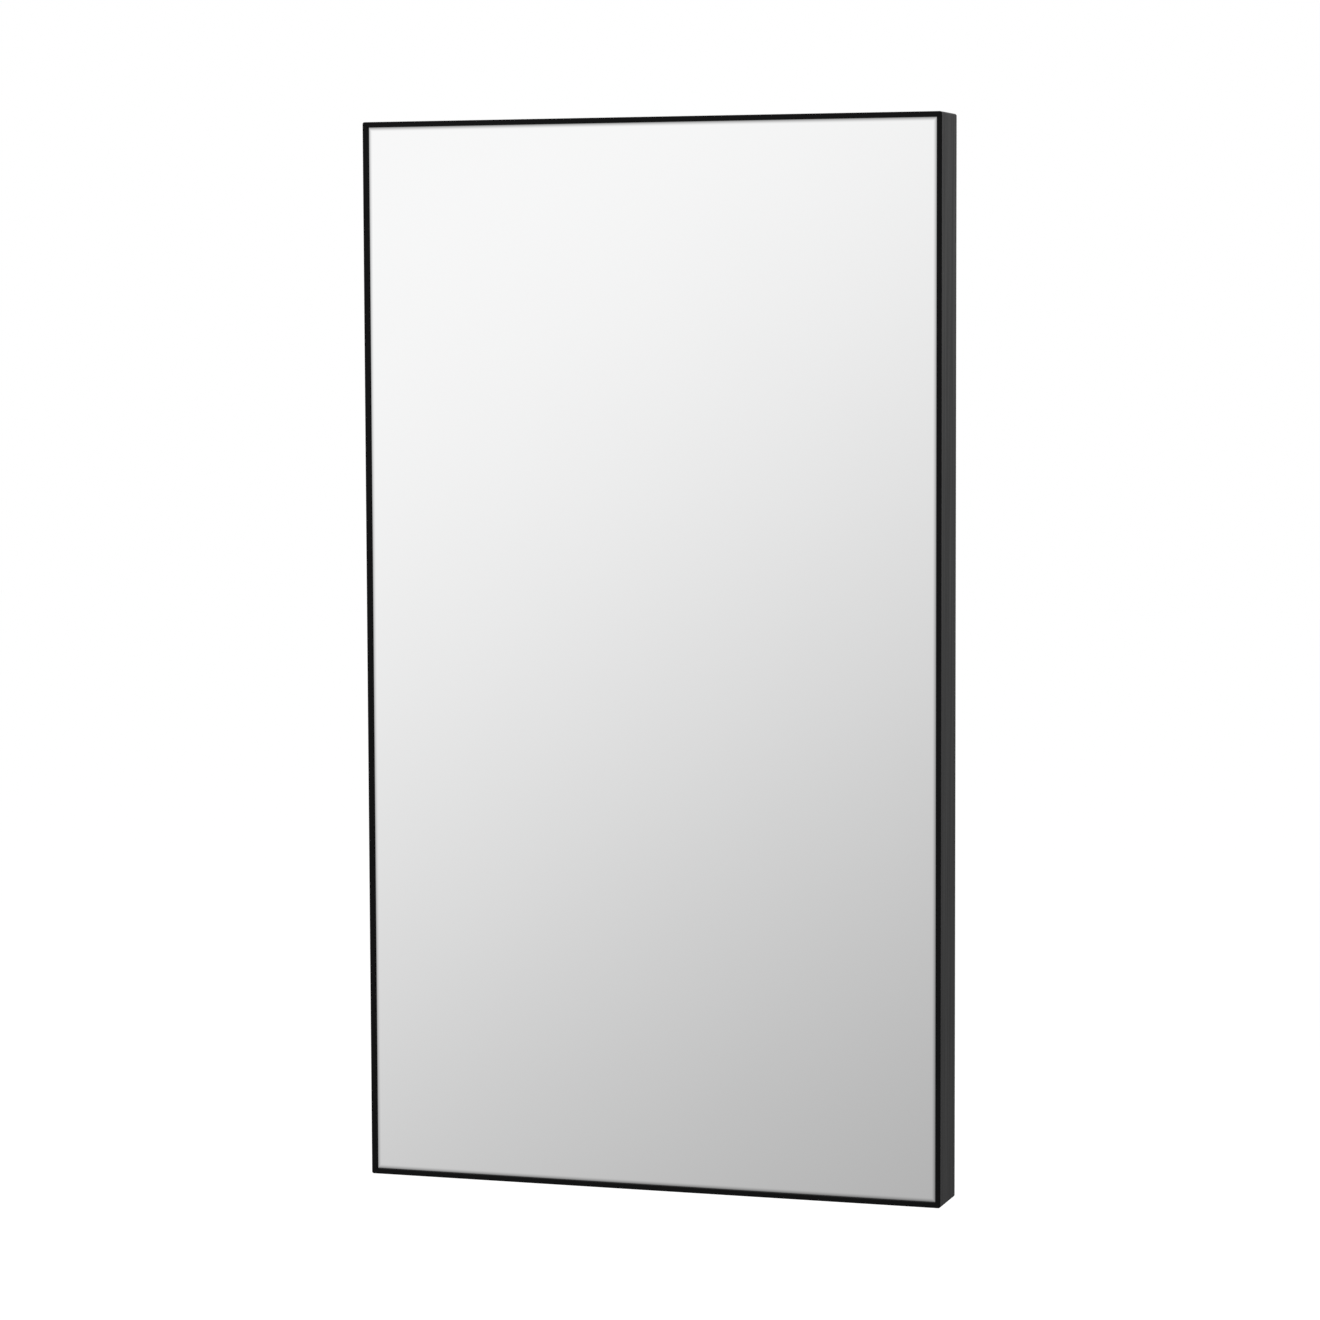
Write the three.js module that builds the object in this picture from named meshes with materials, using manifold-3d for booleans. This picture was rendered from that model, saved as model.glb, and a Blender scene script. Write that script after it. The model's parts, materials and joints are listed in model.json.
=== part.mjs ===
// A framed mirror for a wardrobe side wall. It pulls out on two ball-bearing runners, and its panel
// then swivels about two upright hinge pins near its leading edge.
// Lengths are in millimetres and angles in radians. X points the way it pulls out, Y into the wall,
// Z up. The origin is the middle of the spine's wall face.
import * as THREE from "three";
import { mergeVertices } from "three/addons/utils/BufferGeometryUtils.js";
import Module from "manifold-3d";

const wasm = await Module();
wasm.setup();

// Fits that several pieces share
const seatGap = 0.3;
const cutOverrun = 2;
const runningFit = 0.05;

// The panel as the photograph shows it
const panelWidth = 560;
const panelHeight = 1000;
const panelDepth = 55;

// The frame's aluminium extrusion
const frameWall = 1.6;
const railWidth = 20;
const lipWidth = 5;
const lipThickness = 2;
const lipRound = 0.5;
const keyChamberDepth = 14;
const finReach = 8;
const mitreGap = 0.15;
const cornerRound = 2;

// Corner keys inside the mitred corners
const keyLeg = 62;
const keyToothPitch = 7;
const keyToothDepth = 1;
const keyTeeth = 4;

// Glass and what holds it
const glassThickness = 4;
const glassEdgeGap = 1.2;
const glassArris = 0.5;
const tapeThickness = 1;
const tapeWidth = 12;
const blockLength = 60;
const blockInset = 90;

// Back panel and its screw holes
const backThickness = 3;
const backRecess = 0.2;
const backHoleRadius = 1.4;
const backHoleEdge = 4;
const backHoleInset = 40;
const backHolesAcross = 3;
const backHolesUp = 6;

// Wall rails and the spine between them
const wallSheet = 2;
const wallRailHeight = 74;
const wallRailFlange = 9;
const wallBend = 2;
const wallHoleRadius = 2.6;
const wallHoleInset = 18;
const wallHoleEdge = 8;
const spineWidth = 90;
const spineLap = 11;
const spineJoggle = 5;
const spineSlotLength = 60;
const spineSlotWidth = 24;
const spineSlotCentre = 75;
const spineHoleCentre = 125;

// Ball-bearing runners
const runnerLength = 450;
const runnerHeight = 45;
const runnerDepth = 12.7;
const runnerSpacing = 400;
const memberSheet = 1.2;
const memberBend = 0.9;
const runnerLip = 2;
const ballRadius = 1.6;
const raceGap = 0.1;
const raceHalfAngle = Math.PI / 5;
const raceTip = 0.4;
const cageSheet = 0.6;
const cageReach = 1.9;
const cageLength = 200;
const webGap = 0.35;
const ballsInRow = 6;
const runnerHoleRadius = 2.3;
const runnerHoleInset = 37;
const runnerHoles = 4;
const bufferLength = 11;
const bufferHeight = 28;
const bufferRound = 3;

// Carriage that joins the two inner members
const postWidth = 50;
const postSheet = 2;
const postBend = 2;
const postFlange = 11;
const postOverhang = 36;
const postSlotLength = 70;
const postSlotWidth = 16;
const postSlotPitch = 100;
const postSlots = 3;
const tieWidth = 32;
const tieInset = 24;
const tieRound = 6;

// Swivel hinges
const hingeInset = 35;
const hingeSpacing = 400;
const hingeToRunner = 10;
const leafHeight = 70;
const leafReach = 52;
const leafSheet = 2.5;
const leafScrewShares = [1 / 3, 5 / 6];
const barrelRadius = 6.5;
const pinRadius = 3;
const pinHeadRadius = 5.4;
const pinHeadHeight = 2;
const pinChamfer = 0.6;
const bushWall = 1.2;
const bushFlange = 1.2;
const bushFlangeRadius = 6.2;
const knuckleHeight = 30;
const axialGap = 0.2;
const knuckleClearance = 0.5;
const bracketSheet = 2.5;
const bracketHeight = 84;
const bracketRear = 19;
const bracketEdge = 3;
const bracketRound = 5;
const bracketRearHole = 13;
const pedestalWidth = 9;
const hingeHoleRadius = 2.3;
const hingeHoleSpread = 30;
const hingeHoleCone = 1.6;
const backingWidth = 34;
const backingHeight = 92;

// Bumpers and magnet catch that hold the panel parallel to the carriage
const bumperRadius = 8;
const bumperNeck = 5.5;
const bumperSpread = 170;
const bumperDome = 1.5;
const bumperFoot = 3;
const catchLength = 44;
const catchWidth = 18;
const catchWall = 2.2;
const catchRound = 3;
const catchGap = 0.8;
const magnetDepth = 5;
const strikeRadius = 15;
const strikeThickness = 1.2;
const strikeHoleRadius = 2;

// Facet counts
const arcSteps = 3;
const raceSteps = 4;
const holeSides = 10;
const roundSides = 20;
const ballSides = 8;
const ballRings = 4;

// Places that follow from the sizes above
const runnerBackY = -(wallSheet + seatGap);
const runnerFrontY = runnerBackY - runnerDepth;
const carriageBackY = runnerFrontY - seatGap;
const carriageFrontY = carriageBackY - postSheet;
const pinY = carriageFrontY - seatGap - barrelRadius;
const bracketFaceY = -(barrelRadius + knuckleClearance);
const panelBackY = pinY + bracketFaceY - bracketSheet - seatGap;
const pinX = panelWidth / 2 - hingeInset;
const runnerFrontX = pinX - hingeToRunner;
const runnerRearX = runnerFrontX - runnerLength;
const ledgeDepth = lipThickness + glassThickness + tapeThickness + 3 * seatGap;
const finDepth = panelDepth - backRecess - backThickness - seatGap - frameWall;

const palette = {
  blackAluminium: { color: 0x161617, roughness: 0.42, metalness: 0.6 },
  castAluminium: { color: 0x8c9096, roughness: 0.4, metalness: 0.9 },
  silveredGlass: { color: 0xe8ecee, roughness: 0.02, metalness: 1 },
  foamTape: { color: 0x2a2a2b, roughness: 0.95, metalness: 0 },
  backBoard: { color: 0x1d1d1f, roughness: 0.8, metalness: 0 },
  zincSteel: { color: 0xb4b8bd, roughness: 0.3, metalness: 1 },
  blackSteel: { color: 0x1c1c1d, roughness: 0.55, metalness: 0.5 },
  polishedSteel: { color: 0xd0d2d4, roughness: 0.15, metalness: 1 },
  nylon: { color: 0xe6e4dc, roughness: 0.5, metalness: 0 },
  blackPlastic: { color: 0x202022, roughness: 0.6, metalness: 0 },
  rubber: { color: 0x18181a, roughness: 0.9, metalness: 0 },
  magnet: { color: 0x3a3b3e, roughness: 0.5, metalness: 0.7 },
};

// Directions that profiles are laid along: profile x, profile y, then the way it is extruded
const xAxis = new THREE.Vector3(1, 0, 0);
const yAxis = new THREE.Vector3(0, 1, 0);
const zAxis = new THREE.Vector3(0, 0, 1);
const lengthways = new THREE.Matrix4().makeBasis(yAxis, zAxis, xAxis);
const frontways = new THREE.Matrix4().makeBasis(xAxis, zAxis, yAxis.clone().negate());
const railways = new THREE.Matrix4().makeBasis(zAxis, yAxis, xAxis.clone().negate());

function point(x, y) {
  return new THREE.Vector2(x, y);
}

function arc(x, y, radius, from, to, steps = arcSteps) {
  return Array.from({ length: steps + 1 }, (_, i) => {
    const angle = from + ((to - from) * i) / steps;
    return point(x + radius * Math.cos(angle), y + radius * Math.sin(angle));
  });
}

function circle(x, y, radius, sides = holeSides) {
  return arc(x, y, radius, 0, 2 * Math.PI, sides).slice(0, -1);
}

function rectangle(x, y, width, height) {
  return [
    point(x - width / 2, y - height / 2),
    point(x + width / 2, y - height / 2),
    point(x + width / 2, y + height / 2),
    point(x - width / 2, y + height / 2),
  ];
}

function roundedRectangle(x, y, width, height, radius) {
  const corners = [
    [1, 1],
    [-1, 1],
    [-1, -1],
    [1, -1],
  ];
  return corners.flatMap(([right, up], i) =>
    arc(
      x + right * (width / 2 - radius),
      y + up * (height / 2 - radius),
      radius,
      (i * Math.PI) / 2,
      ((i + 1) * Math.PI) / 2,
    ),
  );
}

// A slot with half-round ends, long side up
function slot(x, y, width, length) {
  const straight = length / 2 - width / 2;
  return [
    ...arc(x, y + straight, width / 2, 0, Math.PI, 2 * arcSteps),
    ...arc(x, y - straight, width / 2, Math.PI, 2 * Math.PI, 2 * arcSteps),
  ];
}

// The closed outline of bent sheet: its centre line set off half a thickness to both sides
function stripOutline(line, thickness) {
  const sides = [1, -1].map((side) =>
    line.map((at, i) => {
      const before = line[Math.max(i - 1, 0)];
      const after = line[Math.min(i + 1, line.length - 1)];
      const into = at.clone().sub(i > 0 ? before : at).normalize();
      const out = after.clone().sub(i < line.length - 1 ? at : after).normalize();
      const along = into.clone().add(out).normalize();
      const mitre = Math.max(along.dot(i > 0 ? into : out), Math.SQRT1_2);
      const across = point(-along.y, along.x).multiplyScalar((side * thickness) / (2 * mitre));
      return at.clone().add(across);
    }),
  );
  return [...sides[0], ...sides[1].reverse()];
}

// A line drawn for the upper half, run on as its mirror image below
function mirroredLine(upper) {
  return [...upper.map((at) => point(at.x, -at.y)).reverse(), ...upper];
}

function extrude(outline, length, holes = []) {
  const shape = new THREE.Shape(outline);
  shape.holes = holes.map((hole) => new THREE.Path(hole));
  return new THREE.ExtrudeGeometry(shape, { depth: length, bevelEnabled: false });
}

// A flat plate in the XZ plane whose back lies at y = 0 and whose front faces -Y
function plate(outline, thickness, holes = []) {
  return extrude(outline, thickness, holes).applyMatrix4(frontways);
}

// A bar along +X from x = 0, its section drawn as depth in front of the back face and height
function bar(section, length) {
  const turned = section.map((at) => point(-at.x, at.y));
  return extrude(turned, length).applyMatrix4(lengthways);
}

function lathe(profile, sides = roundSides) {
  return new THREE.LatheGeometry(profile, sides).rotateX(Math.PI / 2);
}

function block(from, to) {
  const size = to.clone().sub(from);
  const middle = from.clone().add(to).multiplyScalar(1 / 2);
  return new THREE.BoxGeometry(size.x, size.y, size.z).translate(middle.x, middle.y, middle.z);
}

function solidOf(geometry) {
  const bare = geometry.clone();
  bare.deleteAttribute("normal");
  bare.deleteAttribute("uv");
  const merged = mergeVertices(bare);
  return new wasm.Manifold(
    new wasm.Mesh({
      numProp: 3,
      vertProperties: merged.getAttribute("position").array,
      triVerts: new Uint32Array(merged.index.array),
    }),
  );
}

function geometryOf(solid) {
  const mesh = solid.getMesh();
  const geometry = new THREE.BufferGeometry();
  geometry.setAttribute("position", new THREE.BufferAttribute(mesh.vertProperties, 3));
  geometry.setIndex(new THREE.BufferAttribute(mesh.triVerts, 1));
  const faceted = geometry.toNonIndexed();
  faceted.computeVertexNormals();
  return faceted;
}

function join(...geometries) {
  return geometryOf(geometries.map(solidOf).reduce((whole, next) => whole.add(next)));
}

function cut(geometry, ...cutters) {
  return geometryOf(
    cutters.map(solidOf).reduce((whole, cutter) => whole.subtract(cutter), solidOf(geometry)),
  );
}

// A drill along Y that passes through everything near the given depth range
function drill(x, z, radius, backY, frontY) {
  return plate(circle(x, z, radius), backY - frontY + 2 * cutOverrun).translate(0, backY + cutOverrun, 0);
}

// A countersunk screw hole along Y, turned as one solid: its cone opens at the front face
function screwHole(x, z, backY, frontY) {
  const profile = [
    point(0, frontY - cutOverrun),
    point(hingeHoleRadius + hingeHoleCone + cutOverrun, frontY - cutOverrun),
    point(hingeHoleRadius, frontY + hingeHoleCone),
    point(hingeHoleRadius, backY + cutOverrun),
    point(0, backY + cutOverrun),
  ];
  return new THREE.LatheGeometry(profile, holeSides).translate(x, 0, z);
}

function piece(name, geometry, finish) {
  const mesh = new THREE.Mesh(geometry, new THREE.MeshStandardMaterial(palette[finish]));
  mesh.name = name;
  return mesh;
}

function spread(count, from, to) {
  return Array.from({ length: count }, (_, i) => from + ((to - from) * i) / (count - 1));
}

// Frame extrusion: the outline reads from the outer face inwards and from the front plane back
function railSection() {
  return [
    ...arc(lipRound, lipRound, lipRound, Math.PI, 1.5 * Math.PI),
    ...arc(lipWidth - lipRound, lipRound, lipRound, -Math.PI / 2, 0),
    point(lipWidth, lipThickness),
    point(frameWall, lipThickness),
    point(frameWall, ledgeDepth),
    point(railWidth, ledgeDepth),
    point(railWidth, finDepth),
    point(railWidth + finReach, finDepth),
    point(railWidth + finReach, finDepth + frameWall),
    point(railWidth, finDepth + frameWall),
    point(railWidth, panelDepth),
    point(0, panelDepth),
  ];
}

function chamber(front, back) {
  return [
    point(frameWall, front),
    point(railWidth - frameWall, front),
    point(railWidth - frameWall, back),
    point(frameWall, back),
  ];
}

// One length of extrusion, mitred by drawing each end in as far as the point lies from the outer face
function mitredRail(length) {
  const keyFront = ledgeDepth + frameWall;
  const keyBack = keyFront + keyChamberDepth;
  const chambers = [
    chamber(keyFront, keyBack),
    chamber(keyBack + frameWall, panelDepth - frameWall),
  ];
  const rail = extrude(railSection(), length, chambers);
  const at = rail.getAttribute("position");
  for (let i = 0; i < at.count; i++) {
    const inwards = at.getZ(i) > 0 ? -1 : 1;
    at.setZ(i, at.getZ(i) - length / 2 + inwards * (at.getX(i) + mitreGap));
  }
  return roundedEnds(rail.applyMatrix4(railways).translate(0, -panelDepth, 0), length);
}

// Takes the frame's sharp upright corners off a rail whose outer face lies at z = 0
function roundedEnds(rail, length) {
  const reach = 2 * (railWidth + finReach);
  const outline = roundedRectangle(0, reach / 2, length, reach, cornerRound);
  const blank = plate(outline, panelDepth + 2 * cutOverrun).translate(0, cutOverrun, 0);
  return geometryOf(solidOf(rail).intersect(solidOf(blank)));
}

// Toothed edge of a corner key's leg, from the corner outwards
function toothedEdge(edge, tooth) {
  const first = keyLeg - keyTeeth * keyToothPitch;
  return Array.from({ length: keyTeeth }, (_, i) => first + i * keyToothPitch).flatMap((start) => [
    point(start, edge - tooth),
    point(start + keyToothPitch / 2, edge),
    point(start + keyToothPitch, edge),
  ]);
}

// An L of cast aluminium in the corner's own frame: the outer corner at 0, legs along +X and +Z
function cornerKey() {
  const outer = frameWall + seatGap;
  const inner = railWidth - frameWall - seatGap;
  const outerLeg = toothedEdge(outer, -keyToothDepth);
  const innerLeg = toothedEdge(inner, keyToothDepth).reverse();
  const leg = [...outerLeg, ...innerLeg];
  const mirroredLeg = leg.map((at) => point(at.y, at.x)).reverse();
  const outline = [point(outer, outer), ...leg, point(inner, inner), ...mirroredLeg];
  const front = ledgeDepth + frameWall + seatGap - panelDepth;
  return plate(outline, keyChamberDepth - 2 * seatGap).translate(
    0,
    front + keyChamberDepth - 2 * seatGap,
    0,
  );
}

function frame() {
  const group = new THREE.Group();
  const rails = [
    ["frame_rail_bottom", panelWidth, panelHeight, 0],
    ["frame_stile_right", panelHeight, panelWidth, -Math.PI / 2],
    ["frame_rail_top", panelWidth, panelHeight, Math.PI],
    ["frame_stile_left", panelHeight, panelWidth, Math.PI / 2],
  ];
  for (const [name, length, across, turn] of rails) {
    const rail = piece(name, mitredRail(length).translate(0, 0, -across / 2), "blackAluminium");
    rail.rotation.y = turn;
    group.add(rail);
  }
  const corners = [
    ["corner_key_bottom_left", -1, -1, 0],
    ["corner_key_bottom_right", 1, -1, -Math.PI / 2],
    ["corner_key_top_right", 1, 1, Math.PI],
    ["corner_key_top_left", -1, 1, Math.PI / 2],
  ];
  for (const [name, right, up, turn] of corners) {
    const key = piece(name, cornerKey(), "castAluminium");
    key.rotation.y = turn;
    key.position.set((right * panelWidth) / 2, 0, (up * panelHeight) / 2);
    group.add(key);
  }
  return group;
}

function glazing() {
  const group = new THREE.Group();
  const edge = frameWall + glassEdgeGap;
  const width = panelWidth - 2 * edge;
  const height = panelHeight - 2 * edge;
  const glassFrontY = lipThickness + seatGap - panelDepth;
  const glassBackY = glassFrontY + glassThickness;
  const pane = new THREE.ExtrudeGeometry(new THREE.Shape(rectangle(0, 0, width, height)), {
    depth: glassThickness - 2 * glassArris,
    bevelThickness: glassArris,
    bevelSize: glassArris,
    bevelOffset: -glassArris,
    bevelSegments: 1,
  });
  const glass = piece("mirror_glass", pane.applyMatrix4(frontways), "silveredGlass");
  glass.position.y = glassBackY - glassArris;
  group.add(glass);

  const tapeInset = edge + glassArris;
  const tapeX = panelWidth / 2 - tapeInset - tapeWidth / 2;
  const tapeZ = panelHeight / 2 - tapeInset - tapeWidth / 2;
  const tapeAcross = panelWidth - 2 * tapeInset;
  const tapeUp = panelHeight - 2 * (tapeInset + tapeWidth + seatGap);
  const tapes = [
    ["glazing_tape_left", rectangle(-tapeX, 0, tapeWidth, tapeUp)],
    ["glazing_tape_right", rectangle(tapeX, 0, tapeWidth, tapeUp)],
    ["glazing_tape_top", rectangle(0, tapeZ, tapeAcross, tapeWidth)],
    ["glazing_tape_bottom", rectangle(0, -tapeZ, tapeAcross, tapeWidth)],
  ];
  for (const [name, outline] of tapes) {
    const tape = piece(name, plate(outline, tapeThickness), "foamTape");
    tape.position.y = glassBackY + seatGap + tapeThickness;
    group.add(tape);
  }

  const blockHeight = glassEdgeGap - 2 * seatGap;
  for (const [name, side] of [
    ["setting_block_left", -1],
    ["setting_block_right", 1],
  ]) {
    const x = side * (panelWidth / 2 - blockInset);
    const z = frameWall + seatGap + blockHeight / 2 - panelHeight / 2;
    const pad = plate(rectangle(x, z, blockLength, blockHeight), glassThickness);
    const setting = piece(name, pad, "rubber");
    setting.position.y = glassBackY;
    group.add(setting);
  }
  return group;
}

function backPanel() {
  const width = panelWidth - 2 * (railWidth + seatGap);
  const height = panelHeight - 2 * (railWidth + seatGap);
  const rowX = width / 2 - backHoleEdge;
  const rowZ = height / 2 - backHoleEdge;
  const places = [
    ...spread(backHolesUp, backHoleInset - height / 2, height / 2 - backHoleInset).flatMap((z) => [
      [-rowX, z],
      [rowX, z],
    ]),
    ...spread(backHolesAcross, backHoleInset - width / 2, width / 2 - backHoleInset).flatMap((x) => [
      [x, -rowZ],
      [x, rowZ],
    ]),
  ];
  const board = plate(rectangle(0, 0, width, height), backThickness);
  const holes = places.map(([x, z]) => drill(x, z, backHoleRadius, 0, -backThickness));
  const back = piece("back_panel", cut(board, ...holes), "backBoard");
  back.position.y = -backRecess;
  return back;
}

// Height of the gap that the carriage leaf leaves for the panel's knuckle and its two bush flanges
const knuckleWindow = knuckleHeight + 2 * (bushFlange + 2 * axialGap);
const boreRadius = pinRadius + bushWall + 2 * runningFit;

// Carriage side of a hinge: a leaf whose edge curls round the pin, in the pin's own frame
function hingeLeaf() {
  const underside = barrelRadius - leafSheet;
  const meet = Math.asin(underside / barrelRadius);
  const outline = [
    point(-leafReach, barrelRadius),
    ...arc(0, 0, barrelRadius, Math.PI / 2, -Math.PI - meet, roundSides),
    point(-leafReach, underside),
  ];
  const eye = circle(0, 0, pinRadius + runningFit, roundSides);
  const leaf = extrude(outline, leafHeight, [eye]).translate(0, 0, -leafHeight / 2);
  const window = block(
    new THREE.Vector3(-barrelRadius - knuckleClearance, -barrelRadius - cutOverrun, -knuckleWindow / 2),
    new THREE.Vector3(barrelRadius + cutOverrun, barrelRadius + cutOverrun, knuckleWindow / 2),
  );
  const screws = leafScrewShares.flatMap((share) =>
    [1, -1].map((up) =>
      screwHole(-leafReach * share, (up * hingeHoleSpread) / 2, barrelRadius, underside),
    ),
  );
  return cut(leaf, window, ...screws);
}

// Panel side of a hinge: a screwed plate with a knuckle on a pedestal, in the pin's own frame
function hingeBracket() {
  const front = hingeInset - bracketEdge;
  const width = bracketRear + front;
  const middle = (front - bracketRear) / 2;
  const outline = roundedRectangle(middle, 0, width, bracketHeight, bracketRound);
  const foot = plate(outline, bracketSheet).translate(0, bracketFaceY, 0);
  const side = pedestalWidth / 2;
  const shoulder = Math.asin(side / barrelRadius);
  const stem = [
    point(-side, bracketFaceY - bracketSheet / 2),
    point(side, bracketFaceY - bracketSheet / 2),
    ...arc(0, 0, barrelRadius, shoulder - Math.PI / 2, 1.5 * Math.PI - shoulder, roundSides),
  ];
  const bore = circle(0, 0, boreRadius, roundSides);
  const knuckle = extrude(stem, knuckleHeight, [bore]).translate(0, 0, -knuckleHeight / 2);
  const screws = [hingeInset - railWidth / 2, -bracketRearHole].flatMap((x) =>
    [1, -1].map((up) => screwHoleFromWall(x, up * hingeHoleSpread)),
  );
  return cut(join(foot, knuckle), ...screws);
}

// The bracket's screws go in from the wall side, so their cones open towards +Y
function screwHoleFromWall(x, z) {
  const hole = screwHole(x, -z, 0, -bracketSheet);
  return hole.rotateX(Math.PI).translate(0, bracketFaceY - bracketSheet, 0);
}

function hingePin() {
  const bottom = -leafHeight / 2 - seatGap - pinHeadHeight;
  const top = leafHeight / 2 + seatGap + pinHeadHeight;
  return lathe([
    point(0, bottom),
    point(pinRadius - pinChamfer, bottom),
    point(pinRadius, bottom + pinChamfer),
    point(pinRadius, top - pinHeadHeight),
    point(pinHeadRadius, top - pinHeadHeight),
    point(pinHeadRadius, top - pinChamfer),
    point(pinHeadRadius - pinChamfer, top),
    point(0, top),
  ]);
}

// A flanged nylon bush with its flange up, seated in the upper mouth of the knuckle
function hingeBush() {
  const inside = pinRadius + runningFit;
  const outside = pinRadius + bushWall + runningFit;
  const seat = knuckleHeight / 2 + axialGap;
  const foot = axialGap;
  return lathe([
    point(inside, foot),
    point(outside, foot),
    point(outside, seat),
    point(bushFlangeRadius, seat),
    point(bushFlangeRadius, seat + bushFlange),
    point(inside, seat + bushFlange),
    point(inside, foot),
  ]);
}

function backingPlate() {
  const right = hingeInset - railWidth - finReach - 2 * seatGap;
  const middle = right - backingWidth / 2;
  const outline = roundedRectangle(middle, 0, backingWidth, backingHeight, bracketRound);
  const holes = [1, -1].map((up) =>
    circle(-bracketRearHole, up * hingeHoleSpread, hingeHoleRadius),
  );
  return plate(outline, bracketSheet, holes);
}

function hinge(name) {
  const group = new THREE.Group();
  const upperBush = piece("bush_top_" + name, hingeBush(), "nylon");
  const lowerBush = piece("bush_bottom_" + name, hingeBush(), "nylon");
  lowerBush.rotation.x = Math.PI;
  const backing = piece("hinge_backing_plate_" + name, backingPlate(), "zincSteel");
  backing.position.y = panelBackY - pinY - backRecess - backThickness - seatGap;
  group.add(
    piece("hinge_leaf_" + name, hingeLeaf(), "blackSteel"),
    piece("hinge_bracket_" + name, hingeBracket(), "blackSteel"),
    piece("hinge_pin_" + name, hingePin(), "polishedSteel"),
    upperBush,
    lowerBush,
    backing,
  );
  return group;
}

// Runner sections: depths run forwards from the runner's back, heights up from its middle
const raceRadius = ballRadius + raceGap + memberSheet / 2;
const raceHalfWidth = raceRadius * Math.sin(raceHalfAngle);
const raceRise = raceRadius * Math.cos(raceHalfAngle);
const outerBallHeight = runnerHeight / 2 - memberSheet - raceGap - ballRadius;
const innerBallHeight = outerBallHeight - 2 * raceRise;
const outerCageDepth = memberSheet + webGap + cageSheet / 2;
const middleWebDepth = outerCageDepth + cageSheet / 2 + webGap + memberSheet / 2;
const innerCageDepth = middleWebDepth + memberSheet / 2 + webGap + cageSheet / 2;
const innerTipDepth = innerCageDepth + cageSheet / 2 + webGap;
const innerBallDepth = innerTipDepth + raceTip + raceHalfWidth;
const outerBallDepth = innerBallDepth + 2 * raceHalfWidth;
const runnerFaceDepth = runnerDepth - memberSheet / 2;

// Centre line of a member where it passes over a row of balls, or under it
function raceOver(depth, height) {
  const top = Math.PI / 2;
  return arc(depth, height, raceRadius, top + raceHalfAngle, top - raceHalfAngle, raceSteps);
}

function raceUnder(depth, height) {
  const bottom = -Math.PI / 2;
  return arc(depth, height, raceRadius, bottom - raceHalfAngle, bottom + raceHalfAngle, raceSteps);
}

function outerSection() {
  const level = outerBallHeight + raceRise;
  const web = memberSheet / 2;
  const upper = [
    ...arc(web + memberBend, level - memberBend, memberBend, Math.PI, Math.PI / 2),
    ...raceOver(outerBallDepth, outerBallHeight),
    ...arc(runnerFaceDepth - memberBend, level - memberBend, memberBend, Math.PI / 2, 0),
    point(runnerFaceDepth, level - memberBend - runnerLip / 2),
  ];
  return stripOutline(mirroredLine(upper), memberSheet);
}

function middleSection() {
  const level = outerBallHeight - raceRise;
  const bend = arc(
    middleWebDepth + memberBend,
    level - memberBend,
    memberBend,
    Math.PI,
    Math.PI / 2,
  );
  const upper = [
    ...bend,
    ...raceOver(innerBallDepth, innerBallHeight),
    ...raceUnder(outerBallDepth, outerBallHeight).slice(1),
    point(outerBallDepth + raceHalfWidth + raceTip, level),
  ];
  return stripOutline(mirroredLine(upper), memberSheet);
}

function innerSection() {
  const level = innerBallHeight - raceRise;
  const upper = [
    ...arc(runnerFaceDepth - memberBend, level - memberBend, memberBend, 0, Math.PI / 2),
    ...raceUnder(innerBallDepth, innerBallHeight).reverse(),
    point(innerTipDepth, level),
  ];
  return stripOutline(mirroredLine(upper), memberSheet);
}

// A ball retainer: a channel of thin sheet with both rows of balls held in it
function ballRetainer(webDepth, ballDepth, ballHeight) {
  const upper = [
    ...arc(webDepth + cageSheet, ballHeight - cageSheet, cageSheet, Math.PI, Math.PI / 2),
    point(ballDepth + cageReach, ballHeight),
  ];
  const channel = bar(stripOutline(mirroredLine(upper), cageSheet), cageLength);
  const pitch = cageLength / ballsInRow;
  const balls = [1, -1].flatMap((row) =>
    Array.from({ length: ballsInRow }, (_, i) =>
      new THREE.SphereGeometry(ballRadius, ballSides, ballRings).translate(
        (i + 1 / 2) * pitch,
        -ballDepth,
        row * ballHeight,
      ),
    ),
  );
  return join(channel, ...balls);
}

function drilledMember(section, length, webDepth) {
  const places = spread(runnerHoles, runnerHoleInset, length - runnerHoleInset);
  const holes = places.map((x) =>
    drill(x, 0, runnerHoleRadius, memberSheet - webDepth, -memberSheet - webDepth),
  );
  return cut(bar(section, length), ...holes);
}

function buffer() {
  const depth = runnerDepth - memberSheet - 2 * seatGap;
  const middle = memberSheet + seatGap + depth / 2;
  return bar(roundedRectangle(middle, 0, depth, bufferHeight, bufferRound), bufferLength);
}

function runner(name) {
  const group = new THREE.Group();
  const start = bufferLength + 2 * seatGap;
  const cageStart = (runnerLength - cageLength) / 2;
  const outer = drilledMember(outerSection(), runnerLength, memberSheet / 2);
  const middle = drilledMember(middleSection(), runnerLength - start, middleWebDepth);
  const inner = drilledMember(innerSection(), runnerLength - start, runnerFaceDepth);
  const pieces = [
    ["runner_outer_member_", outer, "zincSteel", 0],
    ["runner_middle_member_", middle, "zincSteel", start],
    ["runner_inner_member_", inner, "zincSteel", start],
    [
      "outer_ball_retainer_",
      ballRetainer(outerCageDepth, outerBallDepth, outerBallHeight),
      "polishedSteel",
      cageStart,
    ],
    [
      "inner_ball_retainer_",
      ballRetainer(innerCageDepth, innerBallDepth, innerBallHeight),
      "polishedSteel",
      cageStart,
    ],
    ["runner_buffer_", buffer(), "blackPlastic", seatGap],
  ];
  for (const [kind, geometry, finish, x] of pieces) {
    const part = piece(kind + name, geometry, finish);
    part.position.x = x;
    group.add(part);
  }
  return group;
}

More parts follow.
